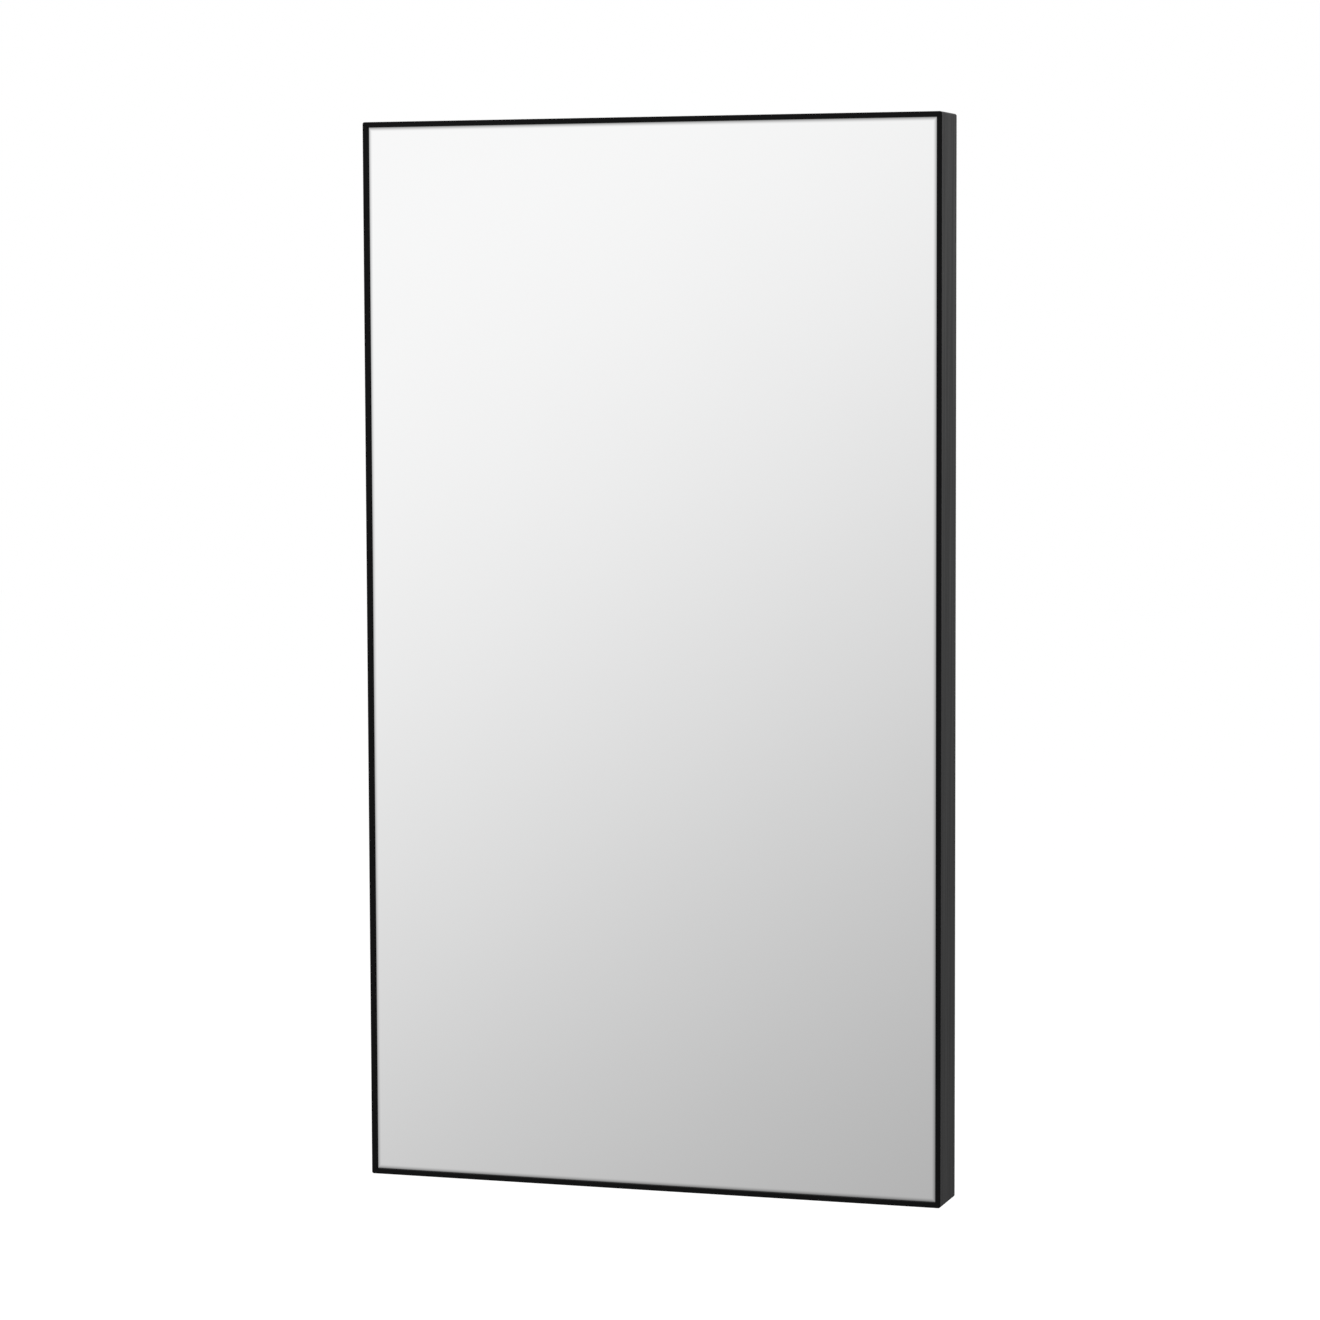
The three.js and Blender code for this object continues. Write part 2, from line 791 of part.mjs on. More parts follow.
// A wall rail: bent sheet with one stiffening flange, drilled above and below its runner
function wallRail() {
  const half = wallRailHeight / 2;
  const web = wallSheet / 2;
  const line = [
    point(web, -half),
    ...arc(web + wallBend, half - web - wallBend, wallBend, Math.PI, Math.PI / 2),
    point(wallRailFlange, half - web),
  ];
  const rail = bar(stripOutline(line, wallSheet), runnerLength);
  const screws = [half - wallHoleEdge, wallHoleEdge - half].flatMap((z) =>
    [wallHoleInset, runnerLength - wallHoleInset].map((x) =>
      drill(x, z, wallHoleRadius, 0, -wallSheet),
    ),
  );
  return cut(rail, ...screws);
}

// The spine lies on the wall and steps forwards at both ends to lap over the rails
function spine() {
  const railEdge = runnerSpacing / 2 - wallRailHeight / 2;
  const back = wallSheet / 2;
  const front = back + wallSheet + seatGap;
  const upper = [
    point(back, railEdge - seatGap - spineJoggle),
    point(front, railEdge - seatGap),
    point(front, railEdge + spineLap),
  ];
  const strip = bar(stripOutline(mirroredLine(upper), wallSheet), spineWidth);
  const middle = spineWidth / 2;
  const openings = [1, -1].flatMap((up) => [
    plate(slot(middle, up * spineSlotCentre, spineSlotWidth, spineSlotLength), wallSheet + 2 * cutOverrun)
      .translate(0, cutOverrun, 0),
    drill(middle, up * spineHoleCentre, wallHoleRadius, 0, -wallSheet),
  ]);
  return cut(strip, ...openings);
}

function wallFrame() {
  const group = new THREE.Group();
  for (const [name, up] of [
    ["wall_rail_upper", 1],
    ["wall_rail_lower", -1],
  ]) {
    const rail = piece(name, wallRail(), "blackSteel");
    rail.position.set(up > 0 ? runnerRearX : runnerFrontX, 0, (up * runnerSpacing) / 2);
    rail.rotation.y = up > 0 ? 0 : Math.PI;
    group.add(rail);
  }
  const upright = piece("wall_spine", spine(), "blackSteel");
  upright.position.x = -spineWidth / 2;
  group.add(upright);
  return group;
}

// The post is an upright angle with lightening slots, its front edge level with the runners' ends
function carriagePost() {
  const height = runnerSpacing + 2 * postOverhang;
  const line = [
    point(-postWidth + postSheet / 2, -postFlange),
    ...arc(
      -postWidth + postSheet / 2 + postBend,
      -postSheet / 2 - postBend,
      postBend,
      Math.PI,
      Math.PI / 2,
    ),
    point(0, -postSheet / 2),
  ];
  const angle = extrude(stripOutline(line, postSheet), height).translate(0, 0, -height / 2);
  const slots = spread(postSlots, -1, 1).map((up) =>
    plate(
      slot(-postWidth / 2, up * postSlotPitch, postSlotWidth, postSlotLength),
      postSheet + 2 * cutOverrun,
    ).translate(0, cutOverrun, 0),
  );
  return cut(angle, ...slots);
}

function carriageTie() {
  const height = runnerSpacing + 2 * postOverhang;
  return plate(roundedRectangle(0, 0, tieWidth, height, tieRound), postSheet);
}

function bumper() {
  const length = carriageFrontY - seatGap - (panelBackY + seatGap);
  return lathe([
    point(0, 0),
    point(bumperRadius, 0),
    point(bumperRadius, bumperFoot),
    point(bumperNeck, bumperFoot + bumperDome),
    point(bumperNeck, length - bumperFoot - bumperDome),
    point(bumperRadius, length - bumperFoot),
    point(bumperRadius, length - bumperDome),
    point(bumperRadius - bumperDome, length),
    point(0, length),
  ]).rotateX(Math.PI / 2);
}

// The catch: a moulded cup that holds a bar magnet with its face to the strike plate
function magnetCatch() {
  const group = new THREE.Group();
  const strikeFaceY = panelBackY + seatGap + strikeThickness;
  const length = carriageFrontY - seatGap - strikeFaceY - catchGap;
  const outline = roundedRectangle(0, 0, catchWidth, catchLength, catchRound);
  const pocket = rectangle(0, 0, catchWidth - 2 * catchWall, catchLength - 2 * catchWall);
  const hollow = plate(pocket, magnetDepth + cutOverrun).translate(0, magnetDepth - length, 0);
  const cup = piece("catch_housing", cut(plate(outline, length), hollow), "blackPlastic");
  const inset = catchWall + seatGap;
  const face = rectangle(0, 0, catchWidth - 2 * inset, catchLength - 2 * inset);
  const magnet = piece("catch_magnet", plate(face, magnetDepth - seatGap), "magnet");
  magnet.position.y = magnetDepth - seatGap - length;
  group.add(cup, magnet);
  return group;
}

function strikePlate() {
  const disc = plate(circle(0, 0, strikeRadius, roundSides), strikeThickness, [
    circle(0, 0, strikeHoleRadius),
  ]);
  return disc.translate(0, strikeThickness + seatGap, 0);
}

function carriage() {
  const group = new THREE.Group();
  const tieX = runnerRearX + bufferLength + tieInset;
  const post = piece("carriage_post", carriagePost(), "blackSteel");
  post.position.set(runnerFrontX, carriageBackY, 0);
  const tie = piece("carriage_tie", carriageTie(), "blackSteel");
  tie.position.set(tieX, carriageBackY, 0);
  group.add(post, tie);
  for (const [name, up] of [
    ["bumper_upper", 1],
    ["bumper_lower", -1],
  ]) {
    const pad = piece(name, bumper(), "rubber");
    pad.position.set(tieX, carriageFrontY - seatGap, up * bumperSpread);
    group.add(pad);
  }
  const holder = magnetCatch();
  holder.position.set(tieX, carriageFrontY - seatGap, 0);
  group.add(holder);
  return group;
}

function panel() {
  const group = new THREE.Group();
  const strike = piece("strike_plate", strikePlate(), "zincSteel");
  strike.position.x = runnerRearX + bufferLength + tieInset;
  group.add(frame(), glazing(), backPanel(), strike);
  return group;
}

const pullOutMirror = new THREE.Group();
const mirrorPanel = panel();
mirrorPanel.position.y = panelBackY;
pullOutMirror.add(mirrorPanel, carriage(), wallFrame());
for (const [name, up] of [
  ["upper", 1],
  ["lower", -1],
]) {
  const slide = runner(name);
  slide.position.set(runnerRearX, runnerBackY, (up * runnerSpacing) / 2);
  const swivel = hinge(name);
  swivel.position.set(pinX, pinY, (up * hingeSpacing) / 2);
  pullOutMirror.add(slide, swivel);
}

export default pullOutMirror;
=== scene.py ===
# Looks of the pull-out closet mirror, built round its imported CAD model.
# Lengths are in metres. X points the way it pulls out, Y into the wall, Z up.
import json
import math

import bmesh
import bpy
from mathutils import Matrix, Vector

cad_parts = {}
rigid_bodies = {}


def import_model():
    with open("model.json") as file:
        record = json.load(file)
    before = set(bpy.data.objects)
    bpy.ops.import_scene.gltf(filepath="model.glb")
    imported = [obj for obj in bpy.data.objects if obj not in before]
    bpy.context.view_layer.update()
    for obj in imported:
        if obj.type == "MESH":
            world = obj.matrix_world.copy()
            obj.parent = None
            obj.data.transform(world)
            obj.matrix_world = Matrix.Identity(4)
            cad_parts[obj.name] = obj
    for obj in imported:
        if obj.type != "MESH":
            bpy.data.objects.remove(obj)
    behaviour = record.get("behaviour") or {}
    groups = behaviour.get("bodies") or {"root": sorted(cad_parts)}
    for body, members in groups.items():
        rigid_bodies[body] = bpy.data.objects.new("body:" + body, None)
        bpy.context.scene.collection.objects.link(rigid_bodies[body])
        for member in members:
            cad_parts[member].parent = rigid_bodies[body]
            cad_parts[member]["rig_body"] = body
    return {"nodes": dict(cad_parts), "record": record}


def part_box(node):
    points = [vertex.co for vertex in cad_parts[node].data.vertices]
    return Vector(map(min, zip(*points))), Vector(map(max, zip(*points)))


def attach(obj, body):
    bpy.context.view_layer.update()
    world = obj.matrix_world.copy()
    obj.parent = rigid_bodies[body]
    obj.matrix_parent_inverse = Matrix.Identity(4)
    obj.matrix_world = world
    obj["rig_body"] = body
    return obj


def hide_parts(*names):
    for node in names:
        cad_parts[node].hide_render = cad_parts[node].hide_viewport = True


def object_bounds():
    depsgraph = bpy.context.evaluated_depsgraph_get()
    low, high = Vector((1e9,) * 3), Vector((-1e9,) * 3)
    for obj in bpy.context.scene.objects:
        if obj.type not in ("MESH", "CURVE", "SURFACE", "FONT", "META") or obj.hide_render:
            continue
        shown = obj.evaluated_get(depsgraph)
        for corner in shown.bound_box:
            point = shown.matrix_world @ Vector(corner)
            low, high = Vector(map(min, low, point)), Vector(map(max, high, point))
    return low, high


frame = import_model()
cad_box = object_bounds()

MM = 0.001

# The photograph's camera, as the panel's front centre sees it
IMAGE_SIDE = 1320
FOCAL_PIXELS = 4218
SENSOR_WIDTH = 36
VIEW_TURN = math.radians(17.84)
VIEW_TILT = math.radians(4.54)
VIEW_ROLL = math.radians(-0.21)
VIEW_OFFSET = Vector((-0.0112, -0.0009, 3.916))

# Clean-up of the copied solids
WELD = 0.002 * MM
FLAT_ANGLE = math.radians(0.5)
SHARP_ANGLE = math.radians(40)

# Sizes that the pieces made here share with the solids
BALL_RADIUS = 1.6 * MM
BALLS_IN_ROW = 18
POCKET_GAP = 0.08 * MM
CAGE_SHEET = 0.6 * MM
CAGE_REACH = 1.9 * MM
PIN_RADIUS = 3 * MM
PIN_CHAMFER = 0.6 * MM
PIN_HEAD_HEIGHT = 2 * MM
PIN_HEAD_EASE = 0.5 * MM
PIN_FIT = 0.05 * MM
BUSH_WALL = 1.2 * MM
BUSH_FLANGE = 1.2 * MM
BUSH_EASE = 0.3 * MM
BUMPER_WAIST = 2.5 * MM
BUMPER_FOOT = 3 * MM
BUMPER_EASE = 0.7 * MM
STRIKE_HOLE = 2 * MM
STRIKE_DISH = 0.8 * MM
STRIKE_EASE = 0.35 * MM
LEAF_FACE = 2.5 * MM
LEAF_SCREW_SPREAD = 15 * MM
BRACKET_FACE = 7 * MM
BRACKET_FRONT_SCREW = 25 * MM
BRACKET_REAR_SCREW = 13 * MM
BRACKET_SCREW_SPREAD = 30 * MM
WALL_SHEET = 2 * MM
WALL_SCREW_INSET = 18 * MM
WALL_SCREW_EDGE = 8 * MM
SPINE_SCREW = 125 * MM
RUNNER_SHEET = 1.2 * MM
RUNNER_SCREW_INSET = 37 * MM
RUNNER_SCREWS = 4
TIE_RIVET_SPREAD = 8 * MM
TIE_SHEET = 2 * MM
CATCH_SCREW_SPREAD = 14 * MM
BACK_SCREW_EDGE = 4 * MM
BACK_SCREW_INSET = 40 * MM
BACK_SCREWS_ACROSS = 3
BACK_SCREWS_UP = 6

# Sizes of the screws and rivets
BACK_SCREW = {"radius": 2.7 * MM, "height": 1.5 * MM, "recess": 2.7 * MM, "shank": 1.3 * MM}
HINGE_SCREW = {"radius": 3.7 * MM, "height": 1.5 * MM, "recess": 3.6 * MM, "shank": 2.2 * MM}
WALL_SCREW = {"radius": 4.6 * MM, "height": 2.4 * MM, "recess": 4.4 * MM, "shank": 2.4 * MM}
RUNNER_SCREW = {"radius": 2.25 * MM, "height": 1 * MM, "recess": 2.4 * MM, "shank": 2.1 * MM}
CATCH_SCREW = {"radius": 3.4 * MM, "height": 1.8 * MM, "recess": 3.2 * MM, "shank": 1.6 * MM}
TIE_RIVET = {"radius": 3.2 * MM, "height": 1.3 * MM}

# The domed heads' spread, and the cross recess's depth and arm as shares of its width
DOME_SPREAD = 1.15
CROSS_DEPTH = 0.9
CROSS_ARM = 0.24

# How finely the small pieces are made
ROUND_STEPS = 48
POCKET_SIDES = 24
CAGE_BEND_STEPS = 6
SHARPEST_TURN = 0.7
HEAD_SIDES = 32
SHANK_SIDES = 24
DOME_RINGS = 24
SPIN_SEED = 7

body_of = {name: node["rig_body"] for name, node in frame["nodes"].items()}
slot_of = {row["node"]: row["material_slot"] for row in frame["record"]["subparts"]}


# Node trees

def put(tree, kind, values=None, **settings):
    """Adds a node, with its settings and with its inputs set or linked."""
    node = tree.nodes.new(kind)
    for name, value in settings.items():
        setattr(node, name, value)
    for name, value in (values or {}).items():
        if isinstance(value, bpy.types.NodeSocket):
            tree.links.new(value, node.inputs[name])
        else:
            node.inputs[name].default_value = value
    return node


def new_group(name, kind, inputs, outputs):
    """A node group with named sockets, and its input and output nodes."""
    tree = bpy.data.node_groups.new(name, kind)
    for label, socket, value in inputs:
        made = tree.interface.new_socket(label, in_out="INPUT", socket_type=socket)
        if value is not None:
            made.default_value = value
    for label, socket in outputs:
        tree.interface.new_socket(label, in_out="OUTPUT", socket_type=socket)
    return tree, tree.nodes.new("NodeGroupInput").outputs, tree.nodes.new("NodeGroupOutput")


def streaks_group():
    """Long fine lines left by rolling, drawing or extruding. Stretch is lines per metre on each axis,
    so it is small along them."""
    tree, given, result = new_group(
        "Streaks",
        "ShaderNodeTree",
        [("Stretch", "NodeSocketVector", (1, 1, 1))],
        [("Value", "NodeSocketFloat")],
    )
    place = put(tree, "ShaderNodeTexCoord")
    stretched = put(tree, "ShaderNodeVectorMath", {0: place.outputs["Object"], 1: given["Stretch"]},
                    operation="MULTIPLY")
    lines = put(tree, "ShaderNodeTexNoise",
                {"Vector": stretched.outputs[0], "Scale": 1, "Detail": 4, "Roughness": 0.65})
    tree.links.new(lines.outputs["Fac"], result.inputs["Value"])
    return tree


def clouds_group():
    """Slow change over a surface, such as handling or an uneven coat."""
    tree, given, result = new_group(
        "Clouds",
        "ShaderNodeTree",
        [("Size", "NodeSocketFloat", 0.05), ("Contrast", "NodeSocketFloat", 1)],
        [("Value", "NodeSocketFloat")],
    )
    place = put(tree, "ShaderNodeTexCoord")
    scale = put(tree, "ShaderNodeMath", {0: 1, 1: given["Size"]}, operation="DIVIDE")
    noise = put(tree, "ShaderNodeTexNoise",
                {"Vector": place.outputs["Object"], "Scale": scale.outputs[0], "Detail": 3})
    centred = put(tree, "ShaderNodeMath", {0: noise.outputs["Fac"], 1: 0.5}, operation="SUBTRACT")
    spread = put(tree, "ShaderNodeMath",
                 {0: centred.outputs[0], 1: given["Contrast"], 2: 0.5},
                 operation="MULTIPLY_ADD", use_clamp=True)
    tree.links.new(spread.outputs[0], result.inputs["Value"])
    return tree


def grain_group():
    """The fine, even roughness of a powder coat, spark texture or cast skin."""
    tree, given, result = new_group(
        "Grain",
        "ShaderNodeTree",
        [("Size", "NodeSocketFloat", 0.0004)],
        [("Height", "NodeSocketFloat")],
    )
    place = put(tree, "ShaderNodeTexCoord")
    scale = put(tree, "ShaderNodeMath", {0: 1, 1: given["Size"]}, operation="DIVIDE")
    noise = put(tree, "ShaderNodeTexNoise",
                {"Vector": place.outputs["Object"], "Scale": scale.outputs[0], "Detail": 2})
    tree.links.new(noise.outputs["Fac"], result.inputs["Height"])
    return tree


def wear_and_highlight_group():
    """Where edges show wear, and on the black frame a painted highlight: a mask that follows outer edges
    and breaks up along them.
    """
    tree, given, result = new_group(
        "Edge wear and highlight",
        "ShaderNodeTree",
        [("Width", "NodeSocketFloat", 0.0006), ("Amount", "NodeSocketFloat", 0.5)],
        [("Mask", "NodeSocketFloat")],
    )
    place = put(tree, "ShaderNodeTexCoord")
    surface = put(tree, "ShaderNodeNewGeometry")
    rounded = put(tree, "ShaderNodeBevel", {"Radius": given["Width"]}, samples=4)
    facing = put(tree, "ShaderNodeVectorMath",
                 {0: rounded.outputs["Normal"], 1: surface.outputs["Normal"]}, operation="DOT_PRODUCT")
    edge = put(tree, "ShaderNodeMapRange",
               {"Value": facing.outputs["Value"], "From Min": 0.99, "From Max": 0.85},
               interpolation_type="SMOOTHSTEP")
    breakup = put(tree, "ShaderNodeTexNoise",
                  {"Vector": place.outputs["Object"], "Scale": 60, "Detail": 4})
    patches = put(tree, "ShaderNodeMapRange",
                  {"Value": breakup.outputs["Fac"], "From Min": 0.35, "From Max": 0.7})
    worn_and_highlit = put(tree, "ShaderNodeMath", {0: edge.outputs["Result"], 1: patches.outputs["Result"]},
               operation="MULTIPLY")
    mask = put(tree, "ShaderNodeMath", {0: worn_and_highlit.outputs[0], 1: given["Amount"]},
               operation="MULTIPLY", use_clamp=True)
    tree.links.new(mask.outputs[0], result.inputs["Mask"])
    return tree


def dust_group():
    """Pale dust that settles on faces that look up."""
    tree, given, result = new_group(
        "Settled dust",
        "ShaderNodeTree",
        [("Amount", "NodeSocketFloat", 0.04)],
        [("Mask", "NodeSocketFloat")],
    )
    place = put(tree, "ShaderNodeTexCoord")
    surface = put(tree, "ShaderNodeNewGeometry")
    parts = put(tree, "ShaderNodeSeparateXYZ", {0: surface.outputs["Normal"]})
    up = put(tree, "ShaderNodeMapRange",
             {"Value": parts.outputs["Z"], "From Min": 0.5, "From Max": 0.95})
    specks = put(tree, "ShaderNodeTexNoise",
                 {"Vector": place.outputs["Object"], "Scale": 700, "Detail": 5})
    thick = put(tree, "ShaderNodeMapRange",
                {"Value": specks.outputs["Fac"], "From Min": 0.4, "From Max": 0.75})
    lying = put(tree, "ShaderNodeMath", {0: up.outputs["Result"], 1: thick.outputs["Result"]},
                operation="MULTIPLY")
    mask = put(tree, "ShaderNodeMath", {0: lying.outputs[0], 1: given["Amount"]},
               operation="MULTIPLY", use_clamp=True)
    tree.links.new(mask.outputs[0], result.inputs["Mask"])
    return tree


# Every effect's group, made once and placed in each finish with its own values
effects = {
    "streaks": streaks_group(),
    "clouds": clouds_group(),
    "grain": grain_group(),
    "wear": wear_and_highlight_group(),
    "dust": dust_group(),
}
DUST_COLOUR = (0.42, 0.41, 0.39, 1)
MOTTLE_CONTRAST = 1.6


def effect(tree, name, **values):
    """Places a shared effect in a material and gives its first output."""
    labels = {key.capitalize(): value for key, value in values.items()}
    return put(tree, "ShaderNodeGroup", labels, node_tree=effects[name]).outputs[0]


def blend_colours(tree, mask, first, second):
    """One colour where the mask is 0 and the other where it is 1."""
    mix = put(tree, "ShaderNodeMix", data_type="RGBA")
    for socket, value in ((mix.inputs[0], mask), (mix.inputs[6], first), (mix.inputs[7], second)):
        if isinstance(value, bpy.types.NodeSocket):
            tree.links.new(value, socket)
        else:
            socket.default_value = value
    return mix.outputs[2]


def surface_finish(name, colour, shade, rough, worn_and_highlit, metallic=0, specular=0.5,
                   stretch=(12, 12, 12), lines=0.3, cloud=0.06, grain=0.4 * MM, height=0.01 * MM,
                   wear=0.4, wear_width=0.5 * MM, dust=0.04, **extra):
    """A finish with mottled and lined colour, streaked roughness, fine grain, worn edges and dust.

    Colour and shade are the coat's two tones, rough its smoothest and roughest, and the next argument
    the tone of its edges:
    wear, and on the black frame partly a painted highlight that lines the bars. Lines is how far the
    tones follow the streaks instead of the clouds, cloud the clouds' size, and grain and height the
    bumps' width and height.
    sockets of the shader, with _ for a space."""
    material = bpy.data.materials.new(name)
    material.use_nodes = True
    tree = material.node_tree
    shader = tree.nodes["Principled BSDF"]
    shader.inputs["Metallic"].default_value = metallic
    shader.inputs["Specular IOR Level"].default_value = specular
    for label, value in extra.items():
        shader.inputs[label.replace("_", " ")].default_value = value
    clouds = effect(tree, "clouds", size=cloud, contrast=MOTTLE_CONTRAST)
    streaks = effect(tree, "streaks", stretch=stretch)
    crisp = put(tree, "ShaderNodeMapRange", {"Value": streaks, "From Min": 0.3, "From Max": 0.7})
    tone = put(tree, "ShaderNodeMix", {0: lines, 2: clouds, 3: crisp.outputs["Result"]},
               data_type="FLOAT")
    mottled = blend_colours(tree, tone.outputs[0], (*colour, 1), (*shade, 1))
    edge_toned = blend_colours(tree, effect(tree, "wear", width=wear_width, amount=wear),
                            mottled, (*worn_and_highlit, 1))
    dusted = blend_colours(tree, effect(tree, "dust", amount=dust), edge_toned, DUST_COLOUR)
    tree.links.new(dusted, shader.inputs["Base Color"])
    roughness = put(tree, "ShaderNodeMapRange",
                    {"Value": crisp.outputs["Result"], "To Min": rough[0], "To Max": rough[1]})
    tree.links.new(roughness.outputs["Result"], shader.inputs["Roughness"])
    bump = put(tree, "ShaderNodeBump",
               {"Height": effect(tree, "grain", size=grain), "Distance": height, "Strength": 1})
    tree.links.new(bump.outputs["Normal"], shader.inputs["Normal"])
    return material


# Finishes

SILVER_TONES = ((0.96, 0.961, 0.962, 1), (0.95, 0.951, 0.952, 1))
# Painted shade on the mirror: within this reach of the pane's edge, its colour darkens towards this dark
# tone.
PAINTED_EDGE_SHADE_REACH = 6.3 * MM
PAINTED_EDGE_SHADE_TONE = (0.02, 0.021, 0.021, 1)
WIPE_SIZE = 0.12
WIPE_ROUGHNESS = 0.012
LENGTHS_X = (4, 260, 260)
LENGTHS_Z = (260, 260, 4)


def anodised(name, stretch):
    """Satin black anodised extrusion, with faint die lines along its length. Its lighter edges are
    partly wear and partly a painted highlight that lines the bars.
    """
    return surface_finish(
        name, colour=(0.0022, 0.0022, 0.0024), shade=(0.005, 0.005, 0.0052), rough=(0.31, 0.47),
        # The pale edge tone is partly wear and partly a painted highlight that lines the bars.
        worn_and_highlit=(0.035, 0.035, 0.036), specular=0.07, stretch=stretch, lines=0.5, grain=0.25 * MM,
        height=0.002 * MM, wear=0.5, wear_width=0.6 * MM, dust=0.012,
    )


def painted_edge_shade_group():
    """A mask for painted shade: 0 at the edge of an upright pane, rising to 1 some way in. Half is half
    the pane's size.
    """
    tree, given, result = new_group(
        "Painted edge shade",
        "ShaderNodeTree",
        [("Half", "NodeSocketVector", (1, 1, 1)), ("Reach", "NodeSocketFloat", 0.01)],
        [("Value", "NodeSocketFloat")],
    )
    place = put(tree, "ShaderNodeTexCoord")
    away = put(tree, "ShaderNodeVectorMath", {0: place.outputs["Object"]}, operation="ABSOLUTE")
    inset = put(tree, "ShaderNodeVectorMath", {0: given["Half"], 1: away.outputs[0]},
                operation="SUBTRACT")
    parts = put(tree, "ShaderNodeSeparateXYZ", {0: inset.outputs[0]})
    nearest = put(tree, "ShaderNodeMath", {0: parts.outputs["X"], 1: parts.outputs["Z"]},
                  operation="MINIMUM")
    rise = put(tree, "ShaderNodeMapRange", {"Value": nearest.outputs[0], "From Max": given["Reach"]},
               interpolation_type="SMOOTHSTEP")
    tree.links.new(rise.outputs["Result"], result.inputs["Value"])
    return tree


def silvered_glass():
    """A true mirror, with the least haze of wiping. Painted shade darkens it to a dark tone along its
    edge, beside the frame's lip.
    """
    material = bpy.data.materials.new("silvered_glass")
    material.use_nodes = True
    tree = material.node_tree
    shader = tree.nodes["Principled BSDF"]
    shader.inputs["Metallic"].default_value = 1
    clouds = effect(tree, "clouds", size=WIPE_SIZE, contrast=1)
    tone = blend_colours(tree, clouds, *SILVER_TONES)
    low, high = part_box("mirror_glass")
    painted_shade_fade = put(tree, "ShaderNodeGroup", {"Half": tuple((high - low) / 2), "Reach": PAINTED_EDGE_SHADE_REACH},
                 node_tree=painted_edge_shade_group())
    silver_with_painted_shade = blend_colours(tree, painted_shade_fade.outputs[0], PAINTED_EDGE_SHADE_TONE, tone)
    tree.links.new(silver_with_painted_shade, shader.inputs["Base Color"])
    wiped = put(tree, "ShaderNodeMapRange", {"Value": clouds, "To Min": 0, "To Max": WIPE_ROUGHNESS})
    tree.links.new(wiped.outputs["Result"], shader.inputs["Roughness"])
    return material


finishes = {
    "frame_level": anodised("black_aluminium_level", LENGTHS_X),
    "frame_upright": anodised("black_aluminium_upright", LENGTHS_Z),
    "silvered_glass": silvered_glass(),
    "cast_aluminium": surface_finish(
        "cast_aluminium", (0.52, 0.53, 0.55), (0.44, 0.45, 0.47), (0.45, 0.6), (0.7, 0.7, 0.72),
        metallic=1, grain=0.6 * MM, height=0.03 * MM),
    "foam_tape": surface_finish(
        "foam_tape", (0.025, 0.025, 0.025), (0.035, 0.035, 0.035), (0.9, 1), (0.04, 0.04, 0.04),
        grain=0.5 * MM, height=0.1 * MM, wear=0.1),
    "back_board": surface_finish(
        "back_board", (0.030, 0.026, 0.023), (0.056, 0.048, 0.041), (0.55, 0.75), (0.12, 0.095, 0.07),
        specular=0.35, stretch=(420, 60, 160), lines=0.5, cloud=0.03, grain=1.1 * MM, height=0.05 * MM,
        wear=0.5, wear_width=0.8 * MM, dust=0.03),
    "zinc_steel": surface_finish(
        "zinc_steel", (0.60, 0.62, 0.65), (0.50, 0.52, 0.56), (0.22, 0.38), (0.72, 0.72, 0.74),
        metallic=1, stretch=LENGTHS_X, cloud=0.03, grain=0.3 * MM, height=0.004 * MM),
    "black_steel": surface_finish(
        "black_steel", (0.013, 0.013, 0.014), (0.019, 0.019, 0.020), (0.42, 0.53), (0.17, 0.17, 0.175),
        specular=0.45, stretch=(70, 70, 70), grain=1 * MM, height=0.08 * MM, wear=0.6,
        wear_width=0.9 * MM),
    "polished_steel": surface_finish(
        "polished_steel", (0.72, 0.73, 0.74), (0.66, 0.67, 0.68), (0.08, 0.16), (0.8, 0.8, 0.8),
        metallic=1, stretch=(900, 900, 30), cloud=0.01, height=0.001 * MM),
    "retainer_steel": surface_finish(
        "retainer_steel", (0.58, 0.57, 0.54), (0.46, 0.44, 0.40), (0.25, 0.42), (0.7, 0.7, 0.68),
        metallic=1, stretch=LENGTHS_X, cloud=0.02, grain=0.3 * MM, height=0.004 * MM),
    "nylon": surface_finish(
        "nylon", (0.74, 0.72, 0.65), (0.68, 0.65, 0.57), (0.38, 0.5), (0.6, 0.58, 0.52),
        grain=0.3 * MM, height=0.004 * MM, wear=0.3, Subsurface_Weight=0.25, Subsurface_Scale=1 * MM),
    "black_plastic": surface_finish(
        "black_plastic", (0.020, 0.020, 0.021), (0.027, 0.027, 0.028), (0.45, 0.6), (0.06, 0.06, 0.06),
        grain=0.35 * MM, height=0.02 * MM, wear=0.3),
    "rubber": surface_finish(
        "rubber", (0.013, 0.013, 0.013), (0.02, 0.02, 0.02), (0.7, 0.85), (0.045, 0.045, 0.045),
        specular=0.35, grain=0.4 * MM, height=0.015 * MM, wear=0.5),
    "magnet": surface_finish(
        "magnet", (0.045, 0.045, 0.047), (0.07, 0.068, 0.068), (0.45, 0.65), (0.12, 0.12, 0.12),
        metallic=0.3, cloud=0.006, grain=0.3 * MM, height=0.03 * MM),
}


def finish_of(node):
    """A node's finish. The frame's die lines run along each bar."""
    slot = slot_of[node]
    if slot != "black_aluminium":
        return finishes[slot]
    return finishes["frame_upright" if "stile" in node else "frame_level"]


# Pieces

def add_piece(name, mesh, body, finish, replaced=()):
    """Makes a piece from a mesh that is already in place, and puts it on its body."""
    mesh.materials.clear()
    mesh.materials.append(finish)
    piece = bpy.data.objects.new(name, mesh)
    bpy.context.scene.collection.objects.link(piece)
    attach(piece, body)
    if replaced:
        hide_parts(*replaced)
    return piece


def finished(node, mesh):
    """The finished piece that takes a CAD solid's place."""
    return add_piece("finished_" + node, mesh, body_of[node], finish_of(node), [node])


